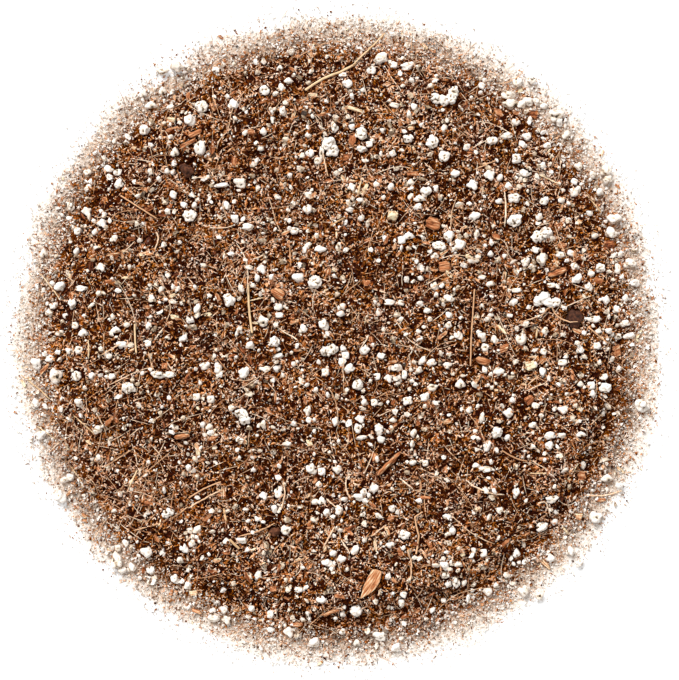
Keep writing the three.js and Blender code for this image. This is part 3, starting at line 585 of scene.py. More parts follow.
@dataclass(frozen=True)
class Finish:
    """What every finish has: a ramp of tones, a rough skin, and peat dust in patches."""

    name: str
    slot: Slot
    ramp: tuple[tuple[float, str], ...]
    roughness: float = 0.85
    gloss: float = 0.3
    bump: float = 0.8
    rough_height: float = 0.12
    dust: float = 0.0
    dust_colour: str = "5a3a26"
    dust_scale: float = 0.9

    def begun(self) -> tuple[Material, Wiring, Socket, Socket]:
        """Starts the material.

        Returns:
            The material, its wiring, the grain's tone, and the grain's lengthwise coordinates.
        """
        material = bpy.data.materials.new(self.name)
        material.use_nodes = True
        wiring = Wiring(material.node_tree)
        tone = wiring.add("Attribute", attribute_name="tone").outputs["Fac"]
        place = wiring.add("Attribute", attribute_name="along").outputs["Vector"]
        return material, wiring, tone, place

    def coloured(self, wiring: Wiring, tone: Socket) -> Socket:
        """Reads tones off the ramp.

        Args:
            wiring: the material's wiring.
            tone: the tones, from 0 to 1.

        Returns:
            Their colours.
        """
        node = wiring.add("ValToRGB")
        elements = node.color_ramp.elements
        while len(elements) < len(self.ramp):
            elements.new(0.5)
        for element, (place, code) in zip(elements, self.ramp):
            element.position = place
            element.color = linear(code)
        wiring.link(tone, node.inputs["Fac"])
        return node.outputs["Color"]

    def dusted(self, wiring: Wiring, effects: Effects, colour: Socket, place: Socket) -> Socket:
        """Lays peat dust over a colour, heavier on the sides as painted shade.

        Args:
            wiring: the material's wiring.
            effects: the shared shader groups.
            colour: the colour.
            place: the grain's lengthwise coordinates.

        Returns:
            The dusty colour.
        """
        node = effects.place(
            wiring, effects.dust, Colour=colour, Dust=linear(self.dust_colour), Place=place,
            Scale=self.dust_scale, Amount=self.dust,
        )
        return node.outputs["Colour"]

    def surfaced(self, wiring: Wiring, colour: Socket, height: Socket) -> None:
        """Ends the material with its shader.

        Args:
            wiring: the material's wiring.
            colour: its colour.
            height: the height of its rough skin.
        """
        bump = wiring.add("Bump")
        bump.inputs["Strength"].default_value = self.bump
        bump.inputs["Distance"].default_value = self.rough_height * MM
        wiring.link(height, bump.inputs["Height"])
        surface = wiring.add("BsdfPrincipled")
        surface.inputs["Roughness"].default_value = self.roughness
        surface.inputs["Specular IOR Level"].default_value = self.gloss
        wiring.link(colour, surface.inputs["Base Color"])
        wiring.link(bump.outputs["Normal"], surface.inputs["Normal"])
        wiring.link(surface.outputs["BSDF"], wiring.add("OutputMaterial").inputs["Surface"])


@dataclass(frozen=True)
class GrainFinish(Finish):
    """A matte plant finish, mottled or with plant grain, and warmer in patches of the mix."""

    mottle_size: float = 0.5
    mottle_depth: float = 0.5
    grained: bool = False
    warmth: float = 0.0
    warmth_size: float = 9.0

    def build(self, effects: Effects) -> Material:
        """Builds the material.

        Args:
            effects: the shared shader groups.

        Returns:
            The material.
        """
        material, wiring, tone, place = self.begun()
        effect = effects.place(
            wiring, effects.streaks if self.grained else effects.mottle,
            Tone=tone, Place=place, Scale=1 / self.mottle_size, Depth=self.mottle_depth,
        )
        colour = self.coloured(wiring, effect.outputs["Tone"])
        if self.dust > 0:
            colour = self.dusted(wiring, effects, colour, place)
        if self.warmth > 0:
            warmed = effects.place(
                wiring, effects.warmth, Colour=colour, Scale=1 / (self.warmth_size * MM),
                Depth=self.warmth,
            )
            colour = warmed.outputs["Colour"]
        self.surfaced(wiring, colour, effect.outputs["Height"])
        return material


@dataclass(frozen=True)
class PerliteFinish(Finish):
    """White popped glass with burst bubbles, painted shade in their pores, and a little peat dust."""

    name: str = "perlite_white"
    slot: Slot = Slot.PERLITE
    ramp: tuple[tuple[float, str], ...] = (
        (0.0, "2e2016"), (0.25, "b09678"), (0.5, "efdec8"), (0.72, "fdf1e4"), (1.0, "fff8f0"),
    )
    roughness: float = 0.7
    gloss: float = 0.35
    bump: float = 0.7
    rough_height: float = 0.15
    dust: float = 0.36
    dust_colour: str = "a47a56"
    dust_scale: float = 0.8
    mottle_scale: float = 0.9
    mottle_depth: float = 0.5
    pore_shade_colour: str = "4e3826"
    pore_spacing: float = 0.85
    pore_width: float = 0.26
    pore_shade_share: float = 0.9

    def build(self, effects: Effects) -> Material:
        """Builds the material.

        Args:
            effects: the shared shader groups.

        Returns:
            The material.
        """
        material, wiring, tone, place = self.begun()
        mottled = effects.place(
            wiring, effects.mottle, Tone=tone, Place=place, Scale=self.mottle_scale,
            Depth=self.mottle_depth,
        )
        colour = self.coloured(wiring, mottled.outputs["Tone"])
        pores = effects.place(
            wiring, effects.pores, Place=place, Scale=1 / self.pore_spacing, Size=self.pore_width
        )
        # Painted shade: the pores are darkened to the shade that falls inside them.
        pore_shaded = wiring.add("Mix", data_type="RGBA")
        share = wiring.math("MULTIPLY", pores.outputs["PoreShade"], self.pore_shade_share)
        wiring.link(share, pore_shaded.inputs["Factor"])
        wiring.link(colour, pore_shaded.inputs[MIX_FIRST])
        pore_shaded.inputs[MIX_SECOND].default_value = linear(self.pore_shade_colour)
        colour = self.dusted(wiring, effects, pore_shaded.outputs[MIX_RESULT], place)
        height = wiring.math("ADD", pores.outputs["Height"], mottled.outputs["Height"])
        self.surfaced(wiring, colour, height)
        return material


PEAT = GrainFinish(
    "dark_peat", Slot.MIX,
    ((0.0, "140100"), (0.3, "481a06"), (0.6, "84502e"), (0.85, "b4805e"), (1.0, "dcae90")),
    mottle_size=0.3, mottle_depth=1.9, gloss=0.05, warmth=1.05,
)
COIR = GrainFinish(
    "brown_coir", Slot.MIX,
    ((0.0, "260400"), (0.25, "6c381a"), (0.5, "b67c56"), (0.75, "ecba98"), (1.0, "ffead6")),
    mottle_size=0.3, mottle_depth=1.9, gloss=0.12, roughness=0.7, warmth=1.05,
)
RUST = GrainFinish(
    "rusty_coir", Slot.MIX,
    ((0.0, "34100a"), (0.4, "925230"), (0.75, "cc8c66"), (1.0, "f4c8a6")),
    mottle_size=0.3, mottle_depth=1.8, gloss=0.15, roughness=0.75, warmth=0.5,
)
# Painted light: a pale finish for the rim, where the heap fades to white.
PALE = GrainFinish(
    "painted_pale_rim", Slot.MIX,
    ((0.0, "6e4c36"), (0.35, "aa8b72"), (0.7, "d8c6b4"), (1.0, "f6f0e9")),
    mottle_size=0.3, mottle_depth=1.0, gloss=0.1,
)
FIBRE = GrainFinish(
    "coir_fibre", Slot.ROOT,
    ((0.0, "603820"), (0.4, "b0764a"), (0.75, "e4b488"), (1.0, "ffe8cc")),
    grained=True, mottle_depth=0.5, roughness=0.6, gloss=0.45, rough_height=0.05,
)
STRAW = GrainFinish(
    "dry_straw", Slot.STRAW,
    ((0.0, "7c5430"), (0.4, "c2925e"), (0.7, "e6c294"), (1.0, "fae6c2")),
    grained=True, mottle_depth=0.5, roughness=0.5, gloss=0.5, rough_height=0.08, dust=0.3,
)
BARK = GrainFinish(
    "bark", Slot.BARK,
    ((0.0, "441a0c"), (0.25, "8c4a24"), (0.5, "c0784a"), (0.75, "dea87c"), (1.0, "f8ebc6")),
    grained=True, mottle_size=0.4, mottle_depth=1.9, roughness=0.7, gloss=0.2, rough_height=0.4,
    dust=0.42,
)
CLOD = GrainFinish(
    "peat_clod", Slot.CLOD,
    ((0.0, "160b06"), (0.35, "3d2013"), (0.65, "6f4129"), (1.0, "a9754f")),
    mottle_size=0.9, mottle_depth=1.1, rough_height=0.35,
)
PERLITE = PerliteFinish()


@dataclass
class Soup:
    """A mesh in the making: vertices, triangles, a tone for each triangle, lengthwise places."""

    vertices: np.ndarray
    triangles: np.ndarray
    tones: np.ndarray
    along: np.ndarray

    @staticmethod
    def joined(parts: list["Soup"]) -> "Soup":
        """Joins several into one.

        Args:
            parts: what to join.

        Returns:
            One soup that holds them all.
        """
        starts = np.cumsum([0] + [len(part.vertices) for part in parts[:-1]])
        return Soup(
            np.concatenate([part.vertices for part in parts]),
            np.concatenate([part.triangles + start for part, start in zip(parts, starts)]),
            np.concatenate([part.tones for part in parts]),
            np.concatenate([part.along for part in parts]),
        )

    def piece(self, name: str, finish: Material, slot: Slot, smooth: bool) -> Piece:
        """Makes the Blender object.

        Args:
            name: its name.
            finish: its material.
            slot: the record's slot that the material stands for.
            smooth: whether its faces are shaded smooth.

        Returns:
            The object, riding on the body.
        """
        mesh = bpy.data.meshes.new(name)
        mesh.from_pydata((self.vertices * MM).tolist(), [], self.triangles.tolist())
        mesh.attributes.new("tone", "FLOAT", "FACE").data.foreach_set("value", self.tones)
        along = mesh.attributes.new("along", "FLOAT_VECTOR", "POINT")
        along.data.foreach_set("vector", self.along.ravel())
        bake_cells(mesh, len(self.triangles))
        mesh.polygons.foreach_set("use_smooth", np.full(len(self.triangles), smooth))
        mesh.materials.append(finish)
        return dressed(bpy.data.objects.new(name, mesh), slot)


def dressed(piece: Piece, slot: Slot) -> Piece:
    """Links a piece to the scene and lets it ride on the body.

    Args:
        piece: the new object.
        slot: the record's slot; not used.

    Returns:
        The same object.
    """
    if not piece.users_collection:
        bpy.context.scene.collection.objects.link(piece)
    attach(piece, BODY)
    return piece


def bake_cells(mesh: bpy.types.Mesh, count: int) -> None:
    """Gives each pair of triangles its own cell of the map, so that loose grains never overlap.

    Args:
        mesh: a mesh of triangles.
        count: how many triangles it has.
    """
    pad = 0.12
    across = math.ceil(math.sqrt((count + 1) // 2))
    index = np.arange(count)
    corner = np.stack([(index // 2) % across, (index // 2) // across], axis=1)[:, None, :]
    low = np.array([[pad, pad], [1 - 2 * pad, pad], [pad, 1 - 2 * pad]])
    high = np.array([[1 - pad, 1 - pad], [2 * pad, 1 - pad], [1 - pad, 2 * pad]])
    local = np.where((index % 2 == 0)[:, None, None], low, high)
    layer = mesh.uv_layers.new(name="OFBake")
    layer.data.foreach_set("uv", ((corner + local) / across).ravel())


def presence(x: np.ndarray, y: np.ndarray, further: float = 0.0) -> np.ndarray:
    """Gives the share of grains that lies at each place, which falls off at the edge.

    Args:
        x: the places.
        y: the places.
        further: how much further out than most these grains reach.

    Returns:
        A share from 0 to 1 for each place.
    """
    return np.interp(np.hypot(x, y) - further, THINNING_RADII, THINNING_SHARES)


def any_turns(dice: Dice, count: int) -> np.ndarray:
    """Gives turns in any direction.

    Args:
        dice: the random numbers.
        count: how many.

    Returns:
        One rotation matrix for each.
    """
    w, x, y, z = np.moveaxis(unit(dice.normal(size=(count, 4))), 1, 0)
    return np.stack([
        1 - 2 * (y * y + z * z), 2 * (x * y - w * z), 2 * (x * z + w * y),
        2 * (x * y + w * z), 1 - 2 * (x * x + z * z), 2 * (y * z - w * x),
        2 * (x * z - w * y), 2 * (y * z + w * x), 1 - 2 * (x * x + y * y),
    ], axis=1).reshape(count, 3, 3)


def flat_turns(yaw: np.ndarray, pitch: np.ndarray, roll: np.ndarray) -> np.ndarray:
    """Gives turns of grains that lie nearly flat.

    Args:
        yaw: the bearing of the grain's length, in radians.
        pitch: how far its length dips.
        roll: how far it leans sideways.

    Returns:
        One rotation matrix for each.
    """
    along = np.stack([np.cos(yaw) * np.cos(pitch), np.sin(yaw) * np.cos(pitch), np.sin(pitch)], axis=1)
    side = unit(np.cross(UP, along))
    top = np.cross(along, side)
    leaning = side * np.cos(roll)[:, None] + top * np.sin(roll)[:, None]
    return np.stack([along, leaning, np.cross(along, leaning)], axis=2)


def unit(vectors: np.ndarray) -> np.ndarray:
    """Gives vectors of length one."""
    return vectors / np.linalg.norm(vectors, axis=-1, keepdims=True)


@dataclass
class Pile:
    """The top of the heap as a height map, which each layer lands on and raises.

    Besides the level it keeps the tint of the mix from place to place, and the places that
    later grains keep clear of because a piece that shows lies there.
    """

    reach: float = 104.0
    cell: float = 0.3
    sample: float = 0.8
    ray_from: float = 1000.0
    joined_ring: tuple[float, float] = (0.7, 0.9)
    ground_blur: int = 4
    bed_drop: float = 1.1
    bed_least: float = 0.25
    bed_edge: float = 90.8
    edge_wander: float = 2.4
    edge_clouds: tuple[float, float] = (5.0, 2.0)
    edge_width: float = 2.5
    skirt_edge: float = 98.8
    skirt_wander: float = 1.5
    skirt_clouds: float = 6.0
    skirt_level: float = 0.15
    mounds: tuple[tuple[float, float], ...] = ((9.0, 0.12), (3.0, 0.22))
    clumps: tuple[tuple[float, float], ...] = ((14.0, 0.06), (5.0, 0.1), (2.2, 0.09))
    rusty_clouds: tuple[tuple[float, float], ...] = ((13.0, 1.0), (4.0, 1.3))
    cloud_height: float = 1.8
    spot_strength: float = 1.4
    rest_reach: float = 0.6
    crest_reach: float = 0.9
    free_reach: float = 0.55
    shows_above: float = 0.4
    seed: int = 5
    skin: np.ndarray = field(init=False)
    level: np.ndarray = field(init=False)
    rusty: np.ndarray = field(init=False)
    tint: np.ndarray = field(init=False)
    taken: np.ndarray = field(init=False)

    def __post_init__(self) -> None:
        """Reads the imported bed's top, and starts the heap a little below it."""
        side = np.arange(-self.reach, self.reach, self.sample)
        tree = BVHTree.FromObject(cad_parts["mix_bed"], bpy.context.evaluated_depsgraph_get())
        down = Vector((0, 0, -1))
        found = [
            [tree.ray_cast(Vector((x * MM, y * MM, self.ray_from * MM)), down)[0] for y in side]
            for x in side
        ]
        raw = np.array([[hit.z / MM if hit else 0.0 for hit in row] for row in found])
        filled = around(around(raw).max(axis=0)).min(axis=0)
        fine = np.arange(-self.reach, self.reach, self.cell)
        self.skin = resampled(blurred(filled, 1), (fine + self.reach) / self.sample)
        x, y = np.meshgrid(fine, fine, indexing="ij")
        out = np.hypot(x, y)
        ground = self.skin.copy()
        core, rim = self.joined_ring
        for spot_x, spot_y, wide, deep in JOINED_GRANULES:
            away = np.hypot((x - spot_x) / wide, (y - spot_y) / deep)
            ground[away < core] = self.skin[(away > core) & (away < rim)].mean()
        ground = blurred(ground, self.ground_blur)
        dice = np.random.default_rng(self.seed)
        waves = sum(self.clouds(dice, size) for size in self.edge_clouds) / len(self.edge_clouds)
        inside = np.clip((self.bed_edge + self.edge_wander * waves - out) / self.edge_width, 0, 1)
        relief = sum(height * self.clouds(dice, size) for size, height in self.mounds)
        self.level = np.maximum(ground - self.bed_drop + relief, self.bed_least) * inside
        skirt = self.skirt_edge + self.skirt_wander * self.clouds(dice, self.skirt_clouds) > out
        self.level = np.maximum(self.level, self.skirt_level * skirt)
        self.rusty = sum(change * self.clouds(dice, size) for size, change in self.rusty_clouds)
        self.tint = sum(change * self.clouds(dice, size) for size, change in self.clumps)
        for spot_x, spot_y, wide, change in TINT_SPOTS:
            away = ((x - spot_x) ** 2 + (y - spot_y) ** 2) / wide ** 2
            self.tint += self.spot_strength * change * np.exp(-away ** 2)
        self.taken = np.zeros(self.level.shape, bool)

    def clouds(self, dice: Dice, size: float) -> np.ndarray:
        """Makes a soft, uneven map.

        Args:
            dice: the random numbers.
            size: how wide its clouds are.

        Returns:
            The map, which spreads about 1 to either side of 0.
        """
        across = int(2 * self.reach / size) + 3
        values = blurred(dice.normal(0, 1, (across, across)), 1)
        fine = np.arange(len(self.skin)) * self.cell / size
        return resampled(values, fine) * self.cloud_height

    def cells(self, x: np.ndarray, y: np.ndarray) -> tuple[np.ndarray, np.ndarray]:
        """Finds the map's cells that hold some places.

        Args:
            x: the places.
            y: the places.

        Returns:
            The cells' row and column numbers.
        """
        last = len(self.level) - 1
        i = np.clip(((x + self.reach) / self.cell).astype(int), 0, last)
        j = np.clip(((y + self.reach) / self.cell).astype(int), 0, last)
        return i, j

    def top(self, x: np.ndarray, y: np.ndarray) -> np.ndarray:
        """Gives the heap's level at some places."""
        return self.level[self.cells(x, y)]

    def rest(self, x: np.ndarray, y: np.ndarray, radius: np.ndarray) -> np.ndarray:
        """Gives the level that grains come to rest on.

        Args:
            x: where they lie.
            y: where they lie.
            radius: their half-widths.

        Returns:
            The mean level under each.
        """
        reach = self.rest_reach * radius
        return np.mean([self.top(x + dx * reach, y + dy * reach) for dx, dy in CROSS], axis=0)

    def crest(self, x: np.ndarray, y: np.ndarray) -> np.ndarray:
        """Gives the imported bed's highest level close to some places."""
        near = [(x + self.crest_reach * dx, y + self.crest_reach * dy) for dx, dy in CROSS]
        return np.max([self.skin[self.cells(*place)] for place in near], axis=0)

    def stamp(
        self, centre: np.ndarray, radius: np.ndarray, height: np.ndarray, reserve: bool = False
    ) -> None:
        """Raises the map to the tops of some grains.

        Args:
            centre: the grains' centres.
            radius: their half-widths.
            height: their half-heights.
            reserve: whether later grains keep clear of them.
        """
        steps = int(math.ceil(radius.max() / self.cell))
        for di in range(-steps, steps + 1):
            for dj in range(-steps, steps + 1):
                share = 1 - (di * di + dj * dj) * self.cell ** 2 / radius ** 2
                hit = share > 0
                i, j = self.cells(centre[hit, 0] + di * self.cell, centre[hit, 1] + dj * self.cell)
                np.maximum.at(self.level, (i, j), centre[hit, 2] + height[hit] * np.sqrt(share[hit]))
                if reserve:
                    self.taken[i, j] = True

    def reserve(self, places: np.ndarray) -> None:
        """Raises the map to a showpiece, and keeps the place clear of later grains.

        Args:
            places: points on the showpiece, of which those well above the heap count.
        """
        i, j = self.cells(places[:, 0], places[:, 1])
        shows = places[:, 2] > self.level[i, j] + self.shows_above
        self.taken[i[shows], j[shows]] = True
        np.maximum.at(self.level, (i[shows], j[shows]), places[shows, 2])

    def free(self, x: np.ndarray, y: np.ndarray, radius: np.ndarray) -> np.ndarray:
        """Tells which grains would hide no showpiece.

        Args:
            x: where the grains lie.
            y: where the grains lie.
            radius: their half-widths.

        Returns:
            True for each grain that may lie there.
        """
        reach = self.free_reach * radius
        hidden = [self.taken[self.cells(x + dx * reach, y + dy * reach)] for dx, dy in CROSS]
        return ~np.any(hidden, axis=0)


def around(values: np.ndarray) -> np.ndarray:
    """Sets each cell of a map beside its eight neighbours.

    Args:
        values: the map.

    Returns:
        Nine shifted copies of the map.
    """
    padded = np.pad(values, 1, mode="edge")
    tall, wide = values.shape
    return np.array([padded[i:i + tall, j:j + wide] for i in range(3) for j in range(3)])


def blurred(field_values: np.ndarray, times: int) -> np.ndarray:
    """Blurs a map.

    Args:
        field_values: the map.
        times: how often its neighbours are averaged in.

    Returns:
        The blurred map.
    """
    for _ in range(times):
        padded = np.pad(field_values, 1, mode="edge")
        field_values = (
            4 * padded[1:-1, 1:-1] + padded[:-2, 1:-1] + padded[2:, 1:-1]
            + padded[1:-1, :-2] + padded[1:-1, 2:]
        ) / 8
    return field_values


def resampled(coarse: np.ndarray, places: np.ndarray) -> np.ndarray:
    """Reads a square map at finer steps.

    Args:
        coarse: the map.
        places: row and column numbers to read it at, with fractions.

    Returns:
        The finer map.
    """
    rows = np.arange(len(coarse))
    tall = np.array([np.interp(places, rows, column) for column in coarse.T]).T
    return np.array([np.interp(places, rows, row) for row in tall])


@dataclass(frozen=True)
class Shape:
    """A grain's unit shape, and how much each of its triangles is darkened by painted shade and lightened
    by painted light.
    """

    vertices: np.ndarray
    triangles: np.ndarray
    painted_shading: np.ndarray

    @staticmethod
    def of(work: bmesh.types.BMesh) -> "Shape":
        """Reads a shape off a mesh in the making, and frees it.

        Args:
            work: the mesh, of triangles only.

        Returns:
            The shape, with no painted shade.
        """
        work.verts.index_update()
        vertices = np.array([v.co[:] for v in work.verts])
        triangles = np.array([[v.index for v in f.verts] for f in work.faces])
        work.free()
        return Shape(vertices, triangles, np.zeros(len(triangles)))

    def carved(self, radius: np.ndarray, shade: float) -> "Shape":
        """Moves a round shape's surface in or out, and darkens what lies deep as painted shade.

        Args:
            radius: each vertex's new distance from the centre.
            shade: how much painted shade darkens a triangle for each unit that it lies deeper than most.

        Returns:
            The carved shape.
        """
        deep = np.clip(np.median(radius) - radius[self.triangles].mean(axis=1), 0, None)
        return Shape(self.vertices * radius[:, None], self.triangles, -shade * deep).filled()

    def filled(self) -> "Shape":
        """Stretches the shape until it reaches from -1 to 1 along each axis."""
        low, high = self.vertices.min(axis=0), self.vertices.max(axis=0)
        return Shape((2 * self.vertices - low - high) / (high - low), self.triangles, self.painted_shading)


def hull_shape(points: np.ndarray) -> Shape:
    """Gives the convex hull of some points.

    Args:
        points: the points.

    Returns:
        The hull as triangles that face out.
    """
    work = bmesh.new()
    for point in points:
        work.verts.new(point)
    result = bmesh.ops.convex_hull(work, input=work.verts)
    spare = {v for v in result["geom_interior"] if isinstance(v, bmesh.types.BMVert)}
    bmesh.ops.delete(work, geom=list(spare), context="VERTS")
    bmesh.ops.recalc_face_normals(work, faces=work.faces)
    bmesh.ops.triangulate(work, faces=work.faces)
    return Shape.of(work)


def ball(level: int) -> Shape:
    """Makes a round unit ball of even triangles.

    Args:
        level: how finely it is divided.

    Returns:
        The ball.
    """
    work = bmesh.new()
    bmesh.ops.create_icosphere(work, subdivisions=level, radius=1.0)
    return Shape.of(work)


@dataclass
class Maker:
    """Makes unit shapes of one kind, no two of them alike."""

    dice: Dice

    def some(self, count: int) -> list[Shape]:
        """Makes some shapes."""
        return [self.one() for _ in range(count)]


@dataclass
class Crumbs(Maker):
    """Makes irregular crumbs of six corners."""

    reach: tuple[float, float] = (0.8, 1.2)
    stray: float = 0.2

    def one(self) -> Shape:
        """Makes a crumb."""
        reach = self.dice.uniform(*self.reach, (6, 1))
        return hull_shape(SIX_CORNERS * reach + self.dice.normal(0, self.stray, (6, 3))).filled()


@dataclass
class Specks(Maker):
    """Makes specks of four corners."""

    stray: float = 0.35

    def one(self) -> Shape:
        """Makes a speck."""
        stray = self.dice.uniform(-self.stray, self.stray, (4, 3))
        return hull_shape(FOUR_CORNERS + stray).filled()


@dataclass
class Splinters(Maker):
    """Makes small splinters with a broken outline, their length along X."""

    corners: int = 6
    uneven: float = 0.3
    squareness: float = 0.65
    reach: tuple[float, float] = (0.78, 1.05)
    underside: tuple[float, float] = (-1.1, -0.8)
    top: tuple[float, float] = (0.6, 1.1)
    top_share: float = 0.86

    def one(self) -> Shape:
        """Makes a splinter.

        Returns:
            The splinter.
        """
        turn = self.dice.uniform(-self.uneven, self.uneven, self.corners)
        bearing = np.arange(self.corners) * FULL_TURN / self.corners + turn
        outline = np.stack([np.cos(bearing), np.sin(bearing)], axis=1)
        outline = np.sign(outline) * np.abs(outline) ** self.squareness
        outline = outline * self.dice.uniform(*self.reach, (self.corners, 1))
        low = np.column_stack([outline, self.dice.uniform(*self.underside, self.corners)])
        high = np.column_stack([outline * self.top_share, self.dice.uniform(*self.top, self.corners)])
        return hull_shape(np.concatenate([low, high]))


@dataclass
class Chips(Maker):
    """Makes bark chips: flat, torn at the outline and ridged along their length, which is X, with painted
    shade in the grooves and painted light on the ridges.
    """

    fineness: int = 3
    corners: tuple[int, int] = (4, 7)
    uneven: float = 0.4
    reach: tuple[float, float] = (0.62, 1.0)
    tear: float = 0.09
    roughness: float = 0.08
    flatness: float = 0.45
    ridge_waves: tuple[int, ...] = (5, 9, 15)
    ridge_heights: tuple[float, float] = (0.1, 0.25)
    ridge_lean: float = 2
    ridge_shift: float = 6.3
    ridge_shade: float = 0.5
    painted_shading: tuple[float, float] = (-0.3, 0.15)

    def one(self) -> Shape:
        """Makes a chip.

        Returns:
            The chip.
        """
        dice = self.dice
        start = ball(self.fineness)
        x, y, z = start.vertices.T
        corners = dice.integers(*self.corners)
        turn = dice.uniform(-self.uneven, self.uneven, corners)
        facing = np.arange(corners) * FULL_TURN / corners + turn
        reach = dice.uniform(*self.reach, corners)
        toward = x[:, None] * np.cos(facing) + y[:, None] * np.sin(facing)
        wide = 1 / np.maximum(toward / reach, LEAST_SHARE).max(axis=1) * np.hypot(x, y)
        torn = dice.normal(1, self.tear, len(x))
        ridge = sum(
            dice.uniform(*self.ridge_heights)
            * np.sin(waves * y + dice.uniform(0, self.ridge_shift) + self.ridge_lean * x)
            for waves in self.ridge_waves
        )
        slab = np.sign(z) * np.abs(z) ** self.flatness * (1 + ridge * (z > 0))
        slab += dice.normal(0, self.roughness, len(x))
        vertices = np.column_stack([x * wide * torn, y * wide * torn, slab])
        # Painted shade and light: the grooves between ridges are darker and the ridge tops lighter.
        shade = np.clip(self.ridge_shade * ridge, *self.painted_shading)[start.triangles].mean(axis=1)
        return Shape(vertices, start.triangles, shade).filled()


@dataclass
class Popped(Maker):
    """Makes popped granules: fused bubbles with creases, worn flat in places, and burst pits, with
    painted shade darkening what lies deep.
    """

    level: int = 2
    bubbles: int = 10
    bubble_sizes: tuple[float, float] = (0.3, 1.0)
    core: float = 0.5
    swell: float = 0.55
    crease: int = 4
    flats: int = 9
    flat_reach: tuple[float, float] = (0.6, 0.95)
    bursts: int = 9
    burst_depths: tuple[float, float] = (0.15, 0.5)
    burst_width: float = 0.03
    roughness: float = 0.05
    least: float = 0.2
    pit_shade: float = 3.2

    def one(self) -> Shape:
        """Makes a granule.

        Returns:
            The granule.
        """
        start = ball(self.level)
        lobes = unit(self.dice.normal(size=(self.bubbles, 3)))
        size = self.dice.uniform(*self.bubble_sizes, self.bubbles)
        near = np.clip(start.vertices @ lobes.T, 0, 1)
        radius = self.core + (self.swell * size * near ** self.crease).max(axis=1)
        sides = unit(self.dice.normal(size=(self.flats, 3)))
        reach = self.dice.uniform(*self.flat_reach, self.flats)
        flat = (reach / np.maximum(start.vertices @ sides.T, LEAST_SHARE)).min(axis=1)
        radius = np.minimum(radius, flat)
        pits = unit(self.dice.normal(size=(self.bursts, 3)))
        depth = self.dice.uniform(*self.burst_depths, self.bursts)
        radius -= (depth * np.exp((start.vertices @ pits.T - 1) / self.burst_width)).max(axis=1)
        radius *= self.dice.normal(1, self.roughness, len(radius))
        # Painted shade: the pits and creases are darkened by how deep they lie.
        return start.carved(np.maximum(radius, self.least), self.pit_shade)


def scattered(
    number: int, reach: tuple[float, float], near: Spots, dice: Dice
) -> tuple[np.ndarray, np.ndarray]:
    """Draws places, evenly over a ring or close to some spots.

    Args:
        number: how many places.
        reach: the inner and outer radius of the ring.
        near: X, Y and reach of each spot, or nothing for the ring.
        dice: the random numbers.

    Returns:
        X and Y of the places.
    """
    spot_spread = 0.6
    bearing = dice.uniform(0, FULL_TURN, number)
    if not near:
        radius = reach[1] * np.sqrt(dice.uniform((reach[0] / reach[1]) ** 2, 1, number))
        return radius * np.cos(bearing), radius * np.sin(bearing)
    spots = np.array(near)
    share = spots[:, 2] ** 2 / (spots[:, 2] ** 2).sum()
    x, y, wide = spots[dice.choice(len(spots), number, p=share)].T
    radius = wide * np.abs(dice.normal(0, spot_spread, number))
    return x + radius * np.cos(bearing), y + radius * np.sin(bearing)


@dataclass
class Layer:
    """One kind of loose grain, strewn over the heap."""

    name: str
    count: int
    smallest: float
    largest: float
    stretch: tuple[float, float]
    flatness: tuple[float, float]
    tones: tuple[float, float]
    lie: Lie = Lie.ANY
    dip: float = 0.2
    lean: float = 1.5
    facet_spread: float = 0.14
    lift: float = 0.2
    least_height: float = 0.8
    batches: int = 3
    fineness: float = 1.6
    spread: float = 103.0
    hollow: float = 0.0
    tinted: float = 1.0
    paler: float = 0.35
    further: float = 0.0
    patchy: float = 0.0
    patch_level: float = 0.5
    near: Spots = ()

    def strewn(self, pile: Pile, shapes: list[Shape], dice: Dice) -> Soup:
        """Strews the grains and raises the heap with them.

        Args:
            pile: the heap.
            shapes: the unit shapes to draw from.
            dice: the random numbers.

        Returns:
            The grains as one soup.
        """
        parts = []
        for _ in range(self.batches):
            number = self.count // self.batches
            x, y = scattered(number, (self.hollow, self.spread), self.near, dice)
            size = self.smallest + (self.largest - self.smallest) * dice.random(number) ** self.fineness
            here = presence(x, y, self.further)
            rusty = pile.rusty[pile.cells(x, y)] - self.patch_level
            likely = here * np.clip(1 + self.patchy * rusty, 0, 1)
            kept = (dice.random(number) < likely) & pile.free(x, y, size / 2)
            x, y, here, size = x[kept], y[kept], here[kept], size[kept]
            number = len(x)
            size *= 1 - EDGE_SHRINK + EDGE_SHRINK * here
            long = size * dice.uniform(*self.stretch, number)
            thick = size * dice.uniform(*self.flatness, number)
            half = np.stack([long, size, thick], axis=1) / 2
            if self.lie is Lie.FLAT:
                yaw = dice.uniform(0, FULL_TURN, number)
                pitch = dice.normal(0, self.dip, number)
                turns = flat_turns(yaw, pitch, dice.normal(0, self.lean * self.dip, number))
                stand = half[:, 2]
            else:
                turns = any_turns(dice, number)
                stand = half.mean(axis=1)
            wide = half[:, 1]
            z = pile.rest(x, y, wide) + stand * 2 * self.lift
            centre = np.stack([x, y, np.maximum(z, self.least_height * stand)], axis=1)
            pile.stamp(centre, np.maximum(wide, pile.cell), stand)
            tone = dice.beta(*self.tones, number) + self.tinted * pile.tint[pile.cells(x, y)]
            # Painted light: grains grow paler towards the rim, where the heap fades to white.
            tone += self.paler * np.clip((np.hypot(x, y) - PALER_FROM) / PALER_OVER, 0, 1)
            parts.append(placed(shapes, centre, half, turns, tone, self.facet_spread, dice))
        return Soup.joined(parts)

    def piece(self, pile: Pile, shapes: list[Shape], material: Material, slot: Slot, dice: Dice) -> Piece:
        """Strews the grains as one piece."""
        return self.strewn(pile, shapes, dice).piece(self.name, material, slot, smooth=False)


